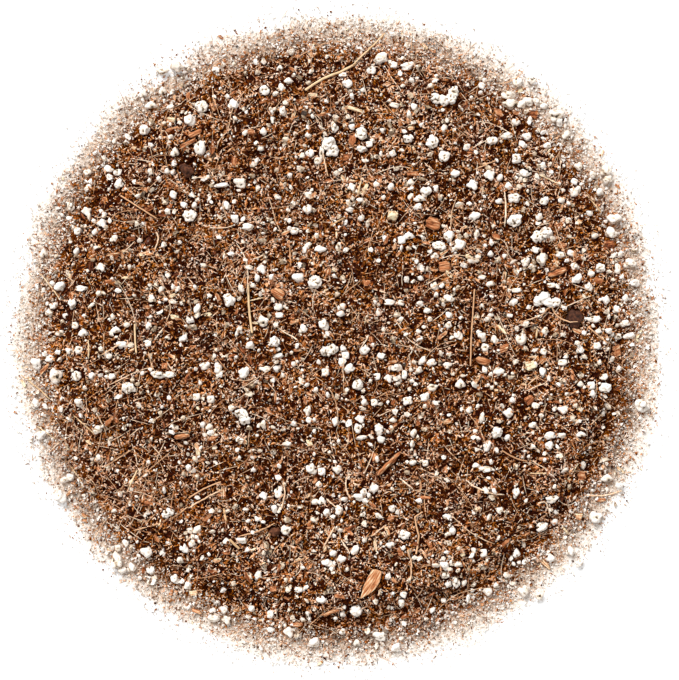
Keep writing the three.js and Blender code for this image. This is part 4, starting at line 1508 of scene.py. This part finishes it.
def placed(
    shapes: list[Shape], centre: np.ndarray, half: np.ndarray, turns: np.ndarray,
    tone: np.ndarray, facet_spread: float, dice: Dice,
) -> Soup:
    """Places grains.

    Args:
        shapes: the unit shapes to draw from.
        centre: the grains' centres.
        half: their half-sizes.
        turns: their rotation matrices.
        tone: their tones.
        facet_spread: how far the tone of one facet strays.
        dice: the random numbers.

    Returns:
        The grains as one soup.
    """
    drawn = dice.integers(0, len(shapes), len(centre))
    offsets = dice.uniform(0, NOISE_SPAN, (len(centre), 1, 3))
    parts = []
    for number, shape in enumerate(shapes):
        mine = drawn == number
        if not mine.any():
            continue
        local = shape.vertices[None] * half[mine][:, None]
        world = np.einsum("nij,nvj->nvi", turns[mine], local) + centre[mine][:, None]
        world[:, :, 2] += np.clip(FLOOR_GAP - world[:, :, 2].min(axis=1), 0, None)[:, None]
        starts = np.arange(mine.sum()) * len(shape.vertices)
        tones = (tone[mine][:, None] + shape.painted_shading).ravel()
        parts.append(Soup(
            world.reshape(-1, 3),
            (shape.triangles[None] + starts[:, None, None]).reshape(-1, 3),
            np.clip(tones + dice.normal(0, facet_spread, len(tones)), 0, 1),
            (local + offsets[mine]).reshape(-1, 3),
        ))
    return Soup.joined(parts)


def tubes(
    paths: np.ndarray, thickness: np.ndarray, tone: np.ndarray, sides: int, dice: Dice
) -> Soup:
    """Makes fibres of one number of points each.

    Args:
        paths: the points, as fibre, point and coordinate.
        thickness: each fibre's thickness.
        tone: each fibre's tone.
        sides: how many sides the fibres have.
        dice: the random numbers.

    Returns:
        The fibres as one soup, closed at their ends.
    """
    thin_ends = 0.55
    knots = (0.85, 1.15)
    facet_spread = 0.05
    count, points = paths.shape[:2]
    tangent = unit(np.gradient(paths, axis=1))
    side = unit(np.cross(UP, tangent))
    top = np.cross(tangent, side)
    taper = 1 - thin_ends * np.abs(np.linspace(-1, 1, points)) ** 3
    radius = thickness[:, None] / 2 * taper * dice.uniform(*knots, (count, points))
    angle = np.arange(sides) * FULL_TURN / sides
    ring = (
        side[:, :, None] * np.cos(angle)[None, None, :, None]
        + top[:, :, None] * np.sin(angle)[None, None, :, None]
    )
    vertices = paths[:, :, None] + ring * radius[:, :, None, None]
    whole = np.linalg.norm(np.diff(paths, axis=1), axis=2).sum(axis=1)[:, None, None]
    length = np.linspace(0, 1, points)[None, :, None] * whole
    along = np.concatenate([
        np.broadcast_to(length[..., None], (count, points, sides, 1)),
        ring[..., 1:] * radius[:, :, None, None],
    ], axis=3) + dice.uniform(0, NOISE_SPAN, (count, 1, 1, 3))
    a = np.arange(sides)
    b = (a + 1) % sides
    step = np.concatenate([
        np.stack([a, a + sides, b], axis=1), np.stack([b, a + sides, b + sides], axis=1)
    ])
    wall = np.concatenate([step + sides * k for k in range(points - 1)])
    fan = np.array([[0, k, k + 1] for k in range(1, sides - 1)])
    last = sides * (points - 1)
    triangles = np.concatenate([wall, fan, fan[:, ::-1] + last])
    starts = np.arange(count) * points * sides
    tones = np.repeat(tone, len(triangles)) + dice.normal(0, facet_spread, count * len(triangles))
    return Soup(
        vertices.reshape(-1, 3),
        (triangles[None] + starts[:, None, None]).reshape(-1, 3),
        np.clip(tones, 0, 1),
        along.reshape(-1, 3),
    )


@dataclass
class Strands:
    """Loose fibres or roots, strewn over the heap."""

    name: str
    count: int
    shortest: float
    longest: float
    thinnest: float
    thickest: float
    points: int
    sides: int
    curl: float
    tones: tuple[float, float]
    cling: float = 0.5
    lift: float = 0.35
    spread: float = 98.0
    most_hidden: float = 0.2
    near: Spots = ()

    def strewn(self, pile: Pile, dice: Dice) -> Soup:
        """Strews the strands on the heap.

        Args:
            pile: the heap.
            dice: the random numbers.

        Returns:
            The strands as one soup.
        """
        x, y = scattered(self.count, (0.0, self.spread), self.near, dice)
        kept = dice.random(self.count) < presence(x, y) ** 2
        x, y = x[kept], y[kept]
        number = len(x)
        length = self.shortest + (self.longest - self.shortest) * dice.random(number) ** 2
        bend = dice.normal(0, self.curl, (number, 1)) + dice.normal(0, self.curl, (number, self.points))
        heading = dice.uniform(0, FULL_TURN, (number, 1)) + np.cumsum(bend, axis=1)
        step = (length / (self.points - 1))[:, None]
        px = x[:, None] + np.cumsum(np.cos(heading) * step, axis=1) - np.cos(heading) * step
        py = y[:, None] + np.cumsum(np.sin(heading) * step, axis=1) - np.sin(heading) * step
        clear = pile.taken[pile.cells(px, py)].mean(axis=1) < self.most_hidden
        px, py = px[clear], py[clear]
        thickness = dice.uniform(self.thinnest, self.thickest, len(px))
        paths = laid(pile, px, py, thickness, self.cling, self.lift)
        return tubes(paths, thickness, dice.beta(*self.tones, len(px)), self.sides, dice)

    def piece(self, pile: Pile, material: Material, dice: Dice) -> Piece:
        """Strews the strands as one piece."""
        return self.strewn(pile, dice).piece(self.name, material, Slot.ROOT, smooth=True)


def laid(
    pile: Pile, px: np.ndarray, py: np.ndarray, thickness: np.ndarray, cling: float, lift: float
) -> np.ndarray:
    """Lays strands over the heap.

    Args:
        pile: the heap.
        px: the strands' points, X.
        py: the strands' points, Y.
        thickness: their thicknesses.
        cling: how closely they follow the heap, from 0 (straight across) to 1.
        lift: share of the thickness that their middle lies above the heap.

    Returns:
        The paths with their heights.
    """
    level = pile.top(px, py)
    padded = np.pad(level, ((0, 0), (1, 1)), mode="edge")
    level = np.maximum(level, (padded[:, :-2] + padded[:, 2:]) / 2)
    ends = np.linspace(0, 1, level.shape[1])[None]
    straight = level[:, :1] * (1 - ends) + level[:, -1:] * ends
    straight += (level.mean(axis=1) - straight.mean(axis=1))[:, None]
    z = cling * level + (1 - cling) * straight + (lift * thickness)[:, None]
    return np.stack([px, py, np.maximum(z, thickness[:, None] / 2)], axis=2)


def smooth_line(bends: tuple[tuple[float, float], ...], points: int) -> np.ndarray:
    """Draws a smooth line through given bends.

    Args:
        bends: the bends.
        points: how many points the line gets.

    Returns:
        The line's points, X and Y of each.
    """
    knots = np.array([bends[0], *bends, bends[-1]], float)
    place = np.linspace(0, len(bends) - 1, points)
    index = np.minimum(place.astype(int), len(bends) - 2)
    t = (place - index)[:, None]
    a, b, c, d = (knots[index + k] for k in range(4))
    return 0.5 * (
        2 * b + (c - a) * t + (2 * a - 5 * b + 4 * c - d) * t ** 2 + (3 * b - a - 3 * c + d) * t ** 3
    )


@dataclass
class Bed:
    """The packed-down peat under the loose crumbs, and a thin film around it that grows paler towards the
    rim as painted light.
    """

    reach: float = 102.0
    step: float = 1.15
    jitter: float = 0.3
    rough: float = 0.4
    wildest: float = 1.6
    thinnest: float = 0.15
    tone: float = 0.1
    tone_stray: float = 0.1
    paler: float = 0.5
    paler_over: float = 6
    pale_rim_from: float = 89.5
    pale_rim_wander: float = 0.7
    pale_rim_tone: float = 0.35
    pale_rim_stray: float = 0.12
    pale_rim_paler_over: float = 12
    seed: int = 11

    def build(self, pile: Pile, materials: Materials) -> Piece:
        """Builds the closed bed from the heap's first level.

        Args:
            pile: the heap.
            materials: the finishes by name.

        Returns:
            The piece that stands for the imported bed.
        """
        dice = np.random.default_rng(self.seed)
        side = np.arange(-self.reach, self.reach, self.step)
        x, y = np.meshgrid(side, side, indexing="ij")
        level = pile.top(x, y)
        cells = level > 0
        square = cells[:-1, :-1] & cells[1:, :-1] & cells[:-1, 1:] & cells[1:, 1:]
        used = np.zeros_like(cells)
        for di in (0, 1):
            for dj in (0, 1):
                used[di:used.shape[0] - 1 + di, dj:used.shape[1] - 1 + dj] |= square
        number = np.cumsum(used.ravel()).reshape(used.shape) - 1
        waves = dice.normal(0, 1, level.shape).clip(-self.wildest, self.wildest)
        relief = np.minimum(self.rough, level / 3) * waves
        jitter = dice.uniform(-self.jitter, self.jitter, (2,) + level.shape) * self.step
        place = np.stack([(x + jitter[0])[used], (y + jitter[1])[used]], axis=1)
        top = np.column_stack([place, np.maximum(level + relief, self.thinnest)[used]])
        i, j = np.nonzero(square)
        a, b, c, d = number[i, j], number[i + 1, j], number[i + 1, j + 1], number[i, j + 1]
        roof = np.concatenate([np.stack([a, b, c], 1), np.stack([a, c, d], 1)])
        vertices, triangles = closed(top, roof)
        out = np.hypot(*vertices[triangles].mean(axis=1)[:, :2].T)
        tones = dice.normal(self.tone, self.tone_stray, len(out))
        # Painted light: the bed grows paler towards the rim, and the film around it paler still, where
        # the heap fades to white.
        tones += self.paler * np.clip((out - PALER_FROM) / self.paler_over, 0, 1)
        pale_rim = out + dice.normal(0, self.pale_rim_wander, len(out)) > self.pale_rim_from
        dust = self.pale_rim_tone + (out - self.pale_rim_from) / self.pale_rim_paler_over
        tones[pale_rim] = (dust + dice.normal(0, self.pale_rim_stray, len(out)))[pale_rim]
        soup = Soup(vertices, triangles, np.clip(tones, 0, 1), vertices)
        piece = soup.piece("peat_bed", materials[PEAT.name], Slot.MIX, smooth=False)
        piece.data.materials.append(materials[PALE.name])
        piece.data.polygons.foreach_set("material_index", pale_rim.astype(np.int32))
        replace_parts(piece, "mix_bed")
        return piece


def closed(top: np.ndarray, roof: np.ndarray) -> tuple[np.ndarray, np.ndarray]:
    """Closes a roof into a solid with a flat underside at height 0.

    Args:
        top: the roof's vertices.
        roof: the roof's triangles.

    Returns:
        The solid's vertices and triangles: the roof, a wall at its rim, and an underside
        that fans out from the middle.
    """
    count = len(top)
    edges = np.concatenate([roof[:, [0, 1]], roof[:, [1, 2]], roof[:, [2, 0]]])
    key = edges[:, 0].astype(np.int64) * count + edges[:, 1]
    back = edges[:, 1].astype(np.int64) * count + edges[:, 0]
    rim = edges[~np.isin(key, back)]
    ring = np.unique(rim)
    low = np.column_stack([top[ring][:, :2], np.zeros(len(ring))])
    under = count + np.searchsorted(ring, rim)
    middle = np.full(len(rim), count + len(ring))
    triangles = np.concatenate([
        roof,
        np.stack([rim[:, 1], rim[:, 0], under[:, 0]], 1),
        np.stack([rim[:, 1], under[:, 0], under[:, 1]], 1),
        np.stack([under[:, 1], under[:, 0], middle], 1),
    ])
    return np.concatenate([top, low, np.zeros((1, 3))]), triangles


@dataclass
class Mix:
    """The loose brown crumbs, shreds and fibres that hide the bed."""

    seed: int = 21
    crumb_kinds: int = 14
    speck_kinds: int = 12
    sliver_kinds: int = 10
    peat: Layer = field(default_factory=lambda: Layer(
        "peat_crumbs", 14500, 0.7, 1.5, (1.0, 1.5), (0.6, 0.9), (1.6, 3.3), lift=0.15,
        facet_spread=0.28,
    ))
    coir: Layer = field(default_factory=lambda: Layer(
        "coir_crumbs", 21500, 0.3, 0.8, (1.3, 3.2), (0.7, 1.0), (0.95, 1.15), lie=Lie.FLAT, dip=0.45,
        lift=0.4, facet_spread=0.28,
    ))
    rust: Layer = field(default_factory=lambda: Layer(
        "rusty_crumbs", 16500, 0.35, 0.95, (1.3, 3.2), (0.6, 0.9), (1.6, 1.8), lie=Lie.FLAT, dip=0.4,
        lift=0.45, batches=1, patchy=1.6, facet_spread=0.24, spread=93.0,
    ))
    rust_patches: Layer = field(default_factory=lambda: Layer(
        "rusty_patches", 1500, 0.4, 1.2, (1.0, 2.4), (0.4, 0.8), (1.6, 1.4), lift=0.5, batches=1,
        near=RUST_SPOTS, facet_spread=0.2,
    ))
    shreds: Layer = field(default_factory=lambda: Layer(
        "coir_shreds", 11000, 0.2, 0.4, (2.5, 7.5), (0.6, 1.0), (1.4, 1.1), lie=Lie.FLAT, lift=0.7,
        facet_spread=0.22,
    ))
    grit: Layer = field(default_factory=lambda: Layer(
        "coir_grit", 40000, 0.22, 0.42, (1.5, 4.5), (0.7, 1.0), (0.6, 0.58), lie=Lie.FLAT, dip=0.35,
        lift=0.6, batches=2, facet_spread=0.28,
    ))
    # Painted light: the fringe grains take the pale finish and grow paler outwards.
    fringe: Layer = field(default_factory=lambda: Layer(
        "fringe_dust", 25000, 0.25, 0.75, (1.0, 2.0), (0.6, 1.0), (1.3, 1.3), lift=0.5, batches=1,
        facet_spread=0.2, hollow=87.0, spread=105.0, further=4.0, paler=0.6,
    ))
    fibres: Strands = field(default_factory=lambda: Strands(
        "coir_fibres", 3200, 2.0, 9.0, 0.15, 0.26, 4, 3, 0.07, (2.6, 1.1), cling=0.4, lift=0.7,
    ))
    fibre_patch: Strands = field(default_factory=lambda: Strands(
        "fibre_patch", 110, 4.0, 15.0, 0.18, 0.32, 7, 4, 0.05, (1.8, 1.3), lift=0.7,
        near=((-58.0, -46.0, 24.0), (-78.0, -28.0, 14.0)),
    ))

    def build_crumbs(self, pile: Pile, materials: Materials) -> list[Piece]:
        """Strews the crumbs, coarsest first.

        Args:
            pile: the heap.
            materials: the finishes by name.

        Returns:
            The pieces.
        """
        dice = np.random.default_rng(self.seed)
        shapes = Crumbs(dice).some(self.crumb_kinds)
        return [
            layer.piece(pile, shapes, materials[finish.name], finish.slot, dice)
            for layer, finish in ((self.peat, PEAT), (self.coir, COIR), (self.rust, RUST))
        ]

    def build_litter(self, pile: Pile, materials: Materials) -> list[Piece]:
        """Strews the shreds, grit and fine fibres.

        Args:
            pile: the heap.
            materials: the finishes by name.

        Returns:
            The pieces.
        """
        dice = np.random.default_rng(self.seed + 1)
        specks = Specks(dice).some(self.speck_kinds)
        slivers = Crumbs(dice).some(self.sliver_kinds)
        rows = (
            (self.rust_patches, slivers, RUST), (self.shreds, slivers, COIR),
            (self.grit, specks, COIR), (self.fringe, specks, PALE),
        )
        pieces = [
            layer.piece(pile, shapes, materials[finish.name], finish.slot, dice)
            for layer, shapes, finish in rows
        ]
        for strands in (self.fibres, self.fibre_patch):
            pieces.append(strands.piece(pile, materials[FIBRE.name], dice))
        return pieces


@dataclass
class Perlite:
    """The white granules: the picked ones, and the small ones and dust between them."""

    seed: int = 31
    grown: float = 1.2
    height: float = 0.8
    buried: float = 0.35
    tilt: float = 0.2
    tones: tuple[float, float] = (0.65, 1)
    facet_spread: float = 0.06
    coarse_below: float = 2.2
    coarse_kinds: int = 12
    fine_kinds: int = 16
    small_kinds: int = 12
    speck_kinds: int = 8
    small: Layer = field(default_factory=lambda: Layer(
        "perlite_small", 2100, 0.7, 1.9, (1.0, 1.5), (0.6, 1.0), (2.2, 1.2), lift=0.35, batches=1,
        facet_spread=0.1, fineness=1.2, tinted=0.0,
    ))
    beside: Layer = field(default_factory=lambda: Layer(
        "perlite_beside", 1000, 0.6, 1.6, (1.0, 1.4), (0.7, 1.0), (2.2, 1.1), lift=0.35, batches=1,
        facet_spread=0.1, fineness=1.2, tinted=0.0,
        near=tuple((x, y, BESIDE * max(wide, deep)) for x, y, wide, deep in PERLITE_SPOTS),
    ))
    dust: Layer = field(default_factory=lambda: Layer(
        "perlite_dust", 9000, 0.28, 0.46, (1.0, 1.6), (0.6, 1.0), (2.6, 1.0), lift=0.6, batches=1,
        facet_spread=0.1, tinted=0.0,
    ))

    def granules(self, pile: Pile, material: Material) -> Piece:
        """Presses the picked granules into the heap.

        Args:
            pile: the heap.
            material: the perlite finish.

        Returns:
            The piece that they make.
        """
        dice = np.random.default_rng(self.seed)
        spots = np.array(PERLITE_SPOTS, float)
        x, y = spots[:, 0], spots[:, 1]
        size = spots[:, 2:] * self.grown
        tall = self.height * size.mean(axis=1)
        half = np.column_stack([size, tall]) / 2
        z = np.maximum(pile.rest(x, y, size.min(axis=1)) + tall * (0.5 - self.buried), tall / 2)
        joined = np.array([spot in JOINED_GRANULES for spot in PERLITE_SPOTS])
        z[joined] = pile.crest(x, y)[joined] - tall[joined] / 2
        centre = np.column_stack([x, y, z])
        tilt = dice.normal(0, self.tilt, (2, len(spots)))
        turns = flat_turns(np.zeros(len(spots)), *tilt)
        tone = dice.uniform(*self.tones, len(spots))
        coarse = spots[:, 2:].mean(axis=1) < self.coarse_below
        rows = (
            (coarse, Popped(dice, level=2).some(self.coarse_kinds)),
            (~coarse, Popped(dice, level=3).some(self.fine_kinds)),
        )
        soup = Soup.joined([
            placed(shapes, centre[mine], half[mine], turns[mine], tone[mine], self.facet_spread, dice)
            for mine, shapes in rows
        ])
        pile.stamp(centre, half[:, :2].mean(axis=1), half[:, 2], reserve=True)
        return soup.piece("perlite_granules", material, Slot.PERLITE, smooth=True)

    def strewn(self, pile: Pile, material: Material) -> list[Piece]:
        """Strews the small granules and the dust on the finished mix.

        Args:
            pile: the heap.
            material: the perlite finish.

        Returns:
            The pieces.
        """
        dice = np.random.default_rng(self.seed + 1)
        lumps = Popped(dice, level=1).some(self.small_kinds)
        specks = Specks(dice).some(self.speck_kinds)
        return [
            layer.piece(pile, shapes, material, Slot.PERLITE, dice)
            for layer, shapes in ((self.small, lumps), (self.beside, lumps), (self.dust, specks))
        ]


@dataclass
class Bark:
    """The bark chips: the picked ones and the small ones."""

    seed: int = 41
    thickness: float = 1.1
    raised: float = 0.2
    dip: float = 0.08
    lean: float = 0.15
    facet_spread: float = 0.08
    cleared: float = 0.8
    chip_kinds: int = 20
    splinter_kinds: int = 12
    chips: Layer = field(default_factory=lambda: Layer(
        "bark_small", 1000, 0.6, 1.6, (1.4, 3.4), (0.35, 0.6), (2.0, 2.2), lie=Lie.FLAT, lift=0.45,
        batches=1, facet_spread=0.08,
    ))

    def build(self, pile: Pile, material: Material) -> list[Piece]:
        """Lays the picked chips in the heap and strews the small ones.

        Args:
            pile: the heap.
            material: the bark finish.

        Returns:
            The pieces.
        """
        dice = np.random.default_rng(self.seed)
        spots = np.array(BARK_SPOTS, float)
        half = np.column_stack([spots[:, 2:4], np.full(len(spots), self.thickness)]) / 2
        z = pile.rest(spots[:, 0], spots[:, 1], half[:, 1]) + self.raised * self.thickness
        centre = np.column_stack([spots[:, :2], z])
        pitch = dice.normal(0, self.dip, len(spots))
        turns = flat_turns(np.radians(spots[:, 4]), pitch, dice.normal(0, self.lean, len(spots)))
        shapes = Chips(dice).some(self.chip_kinds)
        picked = placed(shapes, centre, half, turns, spots[:, 5], self.facet_spread, dice)
        pile.stamp(centre, self.cleared * half[:, :2].min(axis=1), half[:, 2], reserve=True)
        splinters = Splinters(dice).some(self.splinter_kinds)
        return [
            picked.piece("bark_chips", material, Slot.BARK, smooth=True),
            self.chips.piece(pile, splinters, material, Slot.BARK, dice),
        ]


@dataclass
class Roots:
    """The long roots and straws that lie on top."""

    seed: int = 51
    root_points: int = 20
    root_tones: tuple[float, float] = (0.6, 1.0)
    straw_points: int = 16
    straw_tones: tuple[float, float] = (0.5, 0.9)
    sides: int = 6
    wobble: float = 0.05
    cling: float = 0.6
    lift: float = 0.55
    loose: Strands = field(default_factory=lambda: Strands(
        "loose_roots", 150, 5.0, 17.0, 0.18, 0.32, 12, 4, 0.07, (3.0, 1.1), cling=0.55, lift=0.65,
    ))

    def build(self, pile: Pile, materials: Materials) -> list[Piece]:
        """Strews the loose strands and lays the routed ones.

        Args:
            pile: the heap.
            materials: the finishes by name.

        Returns:
            The pieces.
        """
        dice = np.random.default_rng(self.seed)
        fibre, straw = materials[FIBRE.name], materials[STRAW.name]
        loose = self.loose.piece(pile, fibre, dice)
        roots = self.routed(pile, ROOT_ROUTES, self.root_points, self.root_tones, dice)
        straws = self.routed(pile, STRAW_ROUTES, self.straw_points, self.straw_tones, dice)
        return [
            loose,
            roots.piece("picked_roots", fibre, Slot.ROOT, smooth=True),
            straws.piece("picked_straws", straw, Slot.STRAW, smooth=True),
        ]

    def routed(
        self, pile: Pile, rows: tuple, points: int, tones: tuple[float, float], dice: Dice
    ) -> Soup:
        """Lays strands that have a route of their own.

        Args:
            pile: the heap.
            rows: each a thickness and its bends.
            points: how many points each strand gets.
            tones: the spread of their tones.
            dice: the random numbers.

        Returns:
            The strands as one soup.
        """
        lines = np.array([smooth_line(row[1:], points) for row in rows])
        px = lines[..., 0] + dice.normal(0, self.wobble, (len(rows), points))
        py = lines[..., 1] + dice.normal(0, self.wobble, (len(rows), points))
        thickness = np.array([row[0] for row in rows], float)
        paths = laid(pile, px, py, thickness, self.cling, self.lift)
        return tubes(paths, thickness, dice.uniform(*tones, len(rows)), self.sides, dice)


@dataclass(frozen=True)
class Dress:
    """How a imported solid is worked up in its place."""

    stem: str
    finish: str
    slot: Slot
    tone: float
    voxel: float = 0.26
    lumps: float = 0.12
    lump_size: float = 1.2
    streak: float = 1.0
    pits: float = 0.0
    slim: float = 0.0
    wear: int = 2
    tone_spread: float = 0.06
    seed: int = 900


DRESSES = (
    Dress("perlite_", PERLITE.name, Slot.PERLITE, 0.9, lumps=0.55, lump_size=0.9, pits=0.6, slim=-0.3),
    Dress("peat_clod_", CLOD.name, Slot.CLOD, 0.5, voxel=0.25, lumps=0.45),
    Dress("bark_chip_", BARK.name, Slot.BARK, 0.5, lumps=0.5, lump_size=0.9, streak=0.25, wear=1),
    Dress("bark_flake", BARK.name, Slot.PALE_BARK, 0.72, lumps=0.16, streak=0.2, wear=1),
    Dress("cream_flake", BARK.name, Slot.CREAM, 0.95, lumps=0.3, wear=1),
    Dress("grass_stem", STRAW.name, Slot.STRAW, 0.75, voxel=0.2, lumps=0.04, slim=0.16),
    Dress("straw_", STRAW.name, Slot.STRAW, 0.7, voxel=0.2, lumps=0.04, slim=0.1),
    Dress("root_fibre_", FIBRE.name, Slot.ROOT, 0.62, voxel=0.2, lumps=0.05, slim=0.16),
)


@dataclass
class Showpieces:
    """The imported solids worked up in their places, each as its own piece."""

    materials: Materials

    def build(self, pile: Pile) -> list[Piece]:
        """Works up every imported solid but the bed, and keeps the heap clear of it.

        Args:
            pile: the heap.

        Returns:
            The pieces.
        """
        pieces = []
        for number, node in enumerate(sorted(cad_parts)):
            dress = next((d for d in DRESSES if node.startswith(d.stem)), None)
            if dress:
                piece = self.worked_up(node, dress, number)
                pile.reserve(vertex_places(piece.data))
                pieces.append(piece)
        return pieces

    def worked_up(self, node: str, dress: Dress, number: int) -> Piece:
        """Rounds and roughens a copy of a solid where it lies.

        Args:
            node: the solid.
            dress: how it is worked up.
            number: a number that varies the look.

        Returns:
            The piece that stands for the solid.
        """
        piece = bpy.data.objects.new(node + "_dressed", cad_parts[node].data.copy())
        bpy.context.scene.collection.objects.link(piece)
        voxels = piece.modifiers.new("voxels", "REMESH")
        voxels.mode = "VOXEL"
        voxels.voxel_size = dress.voxel * MM
        worn = piece.modifiers.new("worn", "SMOOTH")
        worn.iterations = dress.wear
        graph = bpy.context.evaluated_depsgraph_get()
        mesh = bpy.data.meshes.new_from_object(piece.evaluated_get(graph))
        piece.modifiers.clear()
        piece.data = mesh
        roughened(mesh, dress, number)
        mesh.materials.clear()
        mesh.materials.append(self.materials[dress.finish])
        mesh.polygons.foreach_set("use_smooth", np.ones(len(mesh.polygons), bool))
        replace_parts(dressed(piece, dress.slot), node)
        return piece


def vertex_places(mesh: bpy.types.Mesh) -> np.ndarray:
    """Reads a mesh's vertices.

    Args:
        mesh: the mesh, in metres.

    Returns:
        Their places in millimetres.
    """
    places = np.empty(3 * len(mesh.vertices))
    mesh.vertices.foreach_get("co", places)
    return places.reshape(-1, 3) / MM


def roughened(mesh: bpy.types.Mesh, dress: Dress, number: int) -> None:
    """Moves a mesh's vertices into lumps, ridges and pits, and marks its tones, with painted shade
    darkening the pits and the hollows between lumps.

    Args:
        mesh: the mesh.
        dress: how large they are.
        number: a number that varies them.
    """
    finer = 2.7
    finer_share = 0.5
    pit_finer = 1.4
    pit_apart = 9
    pit_sharpness = 4
    pit_floor = 0.8
    pit_shade = 1.6
    lump_shade = 0.8
    sample = 500
    dice = np.random.default_rng(dress.seed + number)
    places = vertex_places(mesh)
    centred = places - places.mean(axis=0)
    axes = np.linalg.svd(centred[::max(1, len(centred) // sample)], full_matrices=False)[2]
    along = centred @ axes.T + dice.uniform(0, NOISE_SPAN, 3)
    coarse = along * [dress.streak, 1, 1] / dress.lump_size
    lump = np.array([
        noise.noise(Vector(p)) + finer_share * noise.noise(Vector(finer * p)) for p in coarse
    ])
    pit = np.clip([
        pit_sharpness * noise.noise(Vector(pit_finer * p + pit_apart)) - pit_floor for p in coarse
    ], 0, 1)
    normals = np.array([vertex.normal[:] for vertex in mesh.vertices])
    out = dress.lumps * lump - dress.pits * pit - dress.slim
    mesh.vertices.foreach_set("co", ((places + normals * out[:, None]) * MM).ravel())
    # Painted shade: the pits and the hollows between lumps are darkened.
    deep = pit_shade * dress.pits * pit + lump_shade * dress.lumps * np.clip(-lump, 0, 1)
    tones = np.clip(dress.tone + dice.normal(0, dress.tone_spread) - deep, 0, 1)
    mesh.attributes.new("along", "FLOAT_VECTOR", "POINT").data.foreach_set("vector", along.ravel())
    mesh.attributes.new("tone", "FLOAT", "POINT").data.foreach_set("value", tones)
    mesh.update()


@dataclass
class Studio:
    """The pale floor, the soft light and the camera straight above."""

    view_width: float = 205.7
    camera_height: float = 900.0
    sensor: float = 36.0
    centre: tuple[float, float] = (0.45, 0.0)
    nearest: float = 10.0
    furthest: float = 10000.0
    floor_size: float = 4000.0
    floor_white: float = 0.86
    key_strength: float = 3.42
    key_spread: float = 30.0
    key_lean: float = 46.0
    key_bearing: float = 118.0
    fill: float = 0.58
    floor_glow: float = 0.25

    def build_camera(self) -> None:
        """Sets the camera straight above the compost."""
        data = bpy.data.cameras.new("camera")
        data.sensor_fit = "HORIZONTAL"
        data.sensor_width = self.sensor
        data.lens = self.sensor * self.camera_height / self.view_width
        data.clip_start = self.nearest * MM
        data.clip_end = self.furthest * MM
        camera = bpy.data.objects.new("camera", data)
        camera.location = (self.centre[0] * MM, self.centre[1] * MM, self.camera_height * MM)
        bpy.context.scene.collection.objects.link(camera)
        bpy.context.scene.camera = camera

    def build_light(self) -> None:
        """Sets a soft key light from the upper left and an even fill."""
        bpy.context.scene.view_settings.view_transform = "Standard"
        key = bpy.data.lights.new("key", "SUN")
        key.energy = self.key_strength
        key.angle = math.radians(self.key_spread)
        lamp = bpy.data.objects.new("key", key)
        lean, bearing = math.radians(self.key_lean), math.radians(self.key_bearing)
        source = Vector((
            math.cos(bearing) * math.sin(lean), math.sin(bearing) * math.sin(lean), math.cos(lean)
        ))
        lamp.rotation_mode = "QUATERNION"
        lamp.rotation_quaternion = source.to_track_quat("Z", "Y")
        bpy.context.scene.collection.objects.link(lamp)
        world = bpy.data.worlds.new("studio")
        world.use_nodes = True
        wiring = Wiring(world.node_tree)
        sky = wiring.add("Background")
        seen = self.seen(wiring)
        more = wiring.math("MULTIPLY", seen, 1 - self.fill)
        wiring.link(wiring.math("ADD", more, self.fill), sky.inputs["Strength"])
        sky.inputs["Color"].default_value = (1, 1, 1, 1)
        wiring.link(sky.outputs["Background"], wiring.add("OutputWorld").inputs["Surface"])
        bpy.context.scene.world = world

    @staticmethod
    def seen(wiring: Wiring) -> Socket:
        """Finds the rays that the camera, a gloss or a glass sees by.

        Args:
            wiring: the material's or world's wiring.

        Returns:
            1 for such rays, and otherwise 0.
        """
        path = wiring.add("LightPath")
        either = wiring.math("MAXIMUM", path.outputs["Is Camera Ray"], path.outputs["Is Glossy Ray"])
        return wiring.math("MAXIMUM", either, path.outputs["Is Transmission Ray"])

    def build_floor(self) -> None:
        """Lays the plain white floor."""
        half = self.floor_size * MM / 2
        mesh = bpy.data.meshes.new("floor")
        corners = [(-half, -half, 0), (half, -half, 0), (half, half, 0), (-half, half, 0)]
        mesh.from_pydata(corners, [], [(0, 1, 2, 3)])
        material = bpy.data.materials.new("white_floor")
        material.use_nodes = True
        wiring = Wiring(material.node_tree)
        paint = wiring.add("BsdfDiffuse")
        paint.inputs["Color"].default_value = (*[self.floor_white] * 3, 1)
        glow = wiring.add("Emission")
        wiring.link(wiring.math("MULTIPLY", self.seen(wiring), self.floor_glow), glow.inputs["Strength"])
        both = wiring.add("AddShader")
        wiring.link(paint.outputs["BSDF"], both.inputs[0])
        wiring.link(glow.outputs["Emission"], both.inputs[1])
        wiring.link(both.outputs["Shader"], wiring.add("OutputMaterial").inputs["Surface"])
        mesh.materials.append(material)
        floor = bpy.data.objects.new("floor", mesh)
        bpy.context.scene.collection.objects.link(floor)


def main() -> None:
    """Builds the studio and then the compost in order, and reports each piece."""
    logging.basicConfig(level=logging.INFO, format="%(name)s: %(message)s")
    studio = Studio()
    studio.build_camera()
    studio.build_light()
    studio.build_floor()
    effects = Effects()
    finishes = (PEAT, COIR, RUST, PALE, FIBRE, STRAW, BARK, CLOD, PERLITE)
    materials = {finish.name: finish.build(effects) for finish in finishes}
    pile = Pile()
    mix = Mix()
    perlite = Perlite()
    pieces = [Bed().build(pile, materials)]
    pieces += Showpieces(materials).build(pile)
    pieces += mix.build_crumbs(pile, materials)
    pieces += [perlite.granules(pile, materials[PERLITE.name])]
    pieces += Bark().build(pile, materials[BARK.name])
    pieces += mix.build_litter(pile, materials)
    pieces += perlite.strewn(pile, materials[PERLITE.name])
    pieces += Roots().build(pile, materials)
    for piece in pieces:
        log.info("%s: %d faces", piece.name, len(piece.data.polygons))


if __name__ == "__main__":
    main()
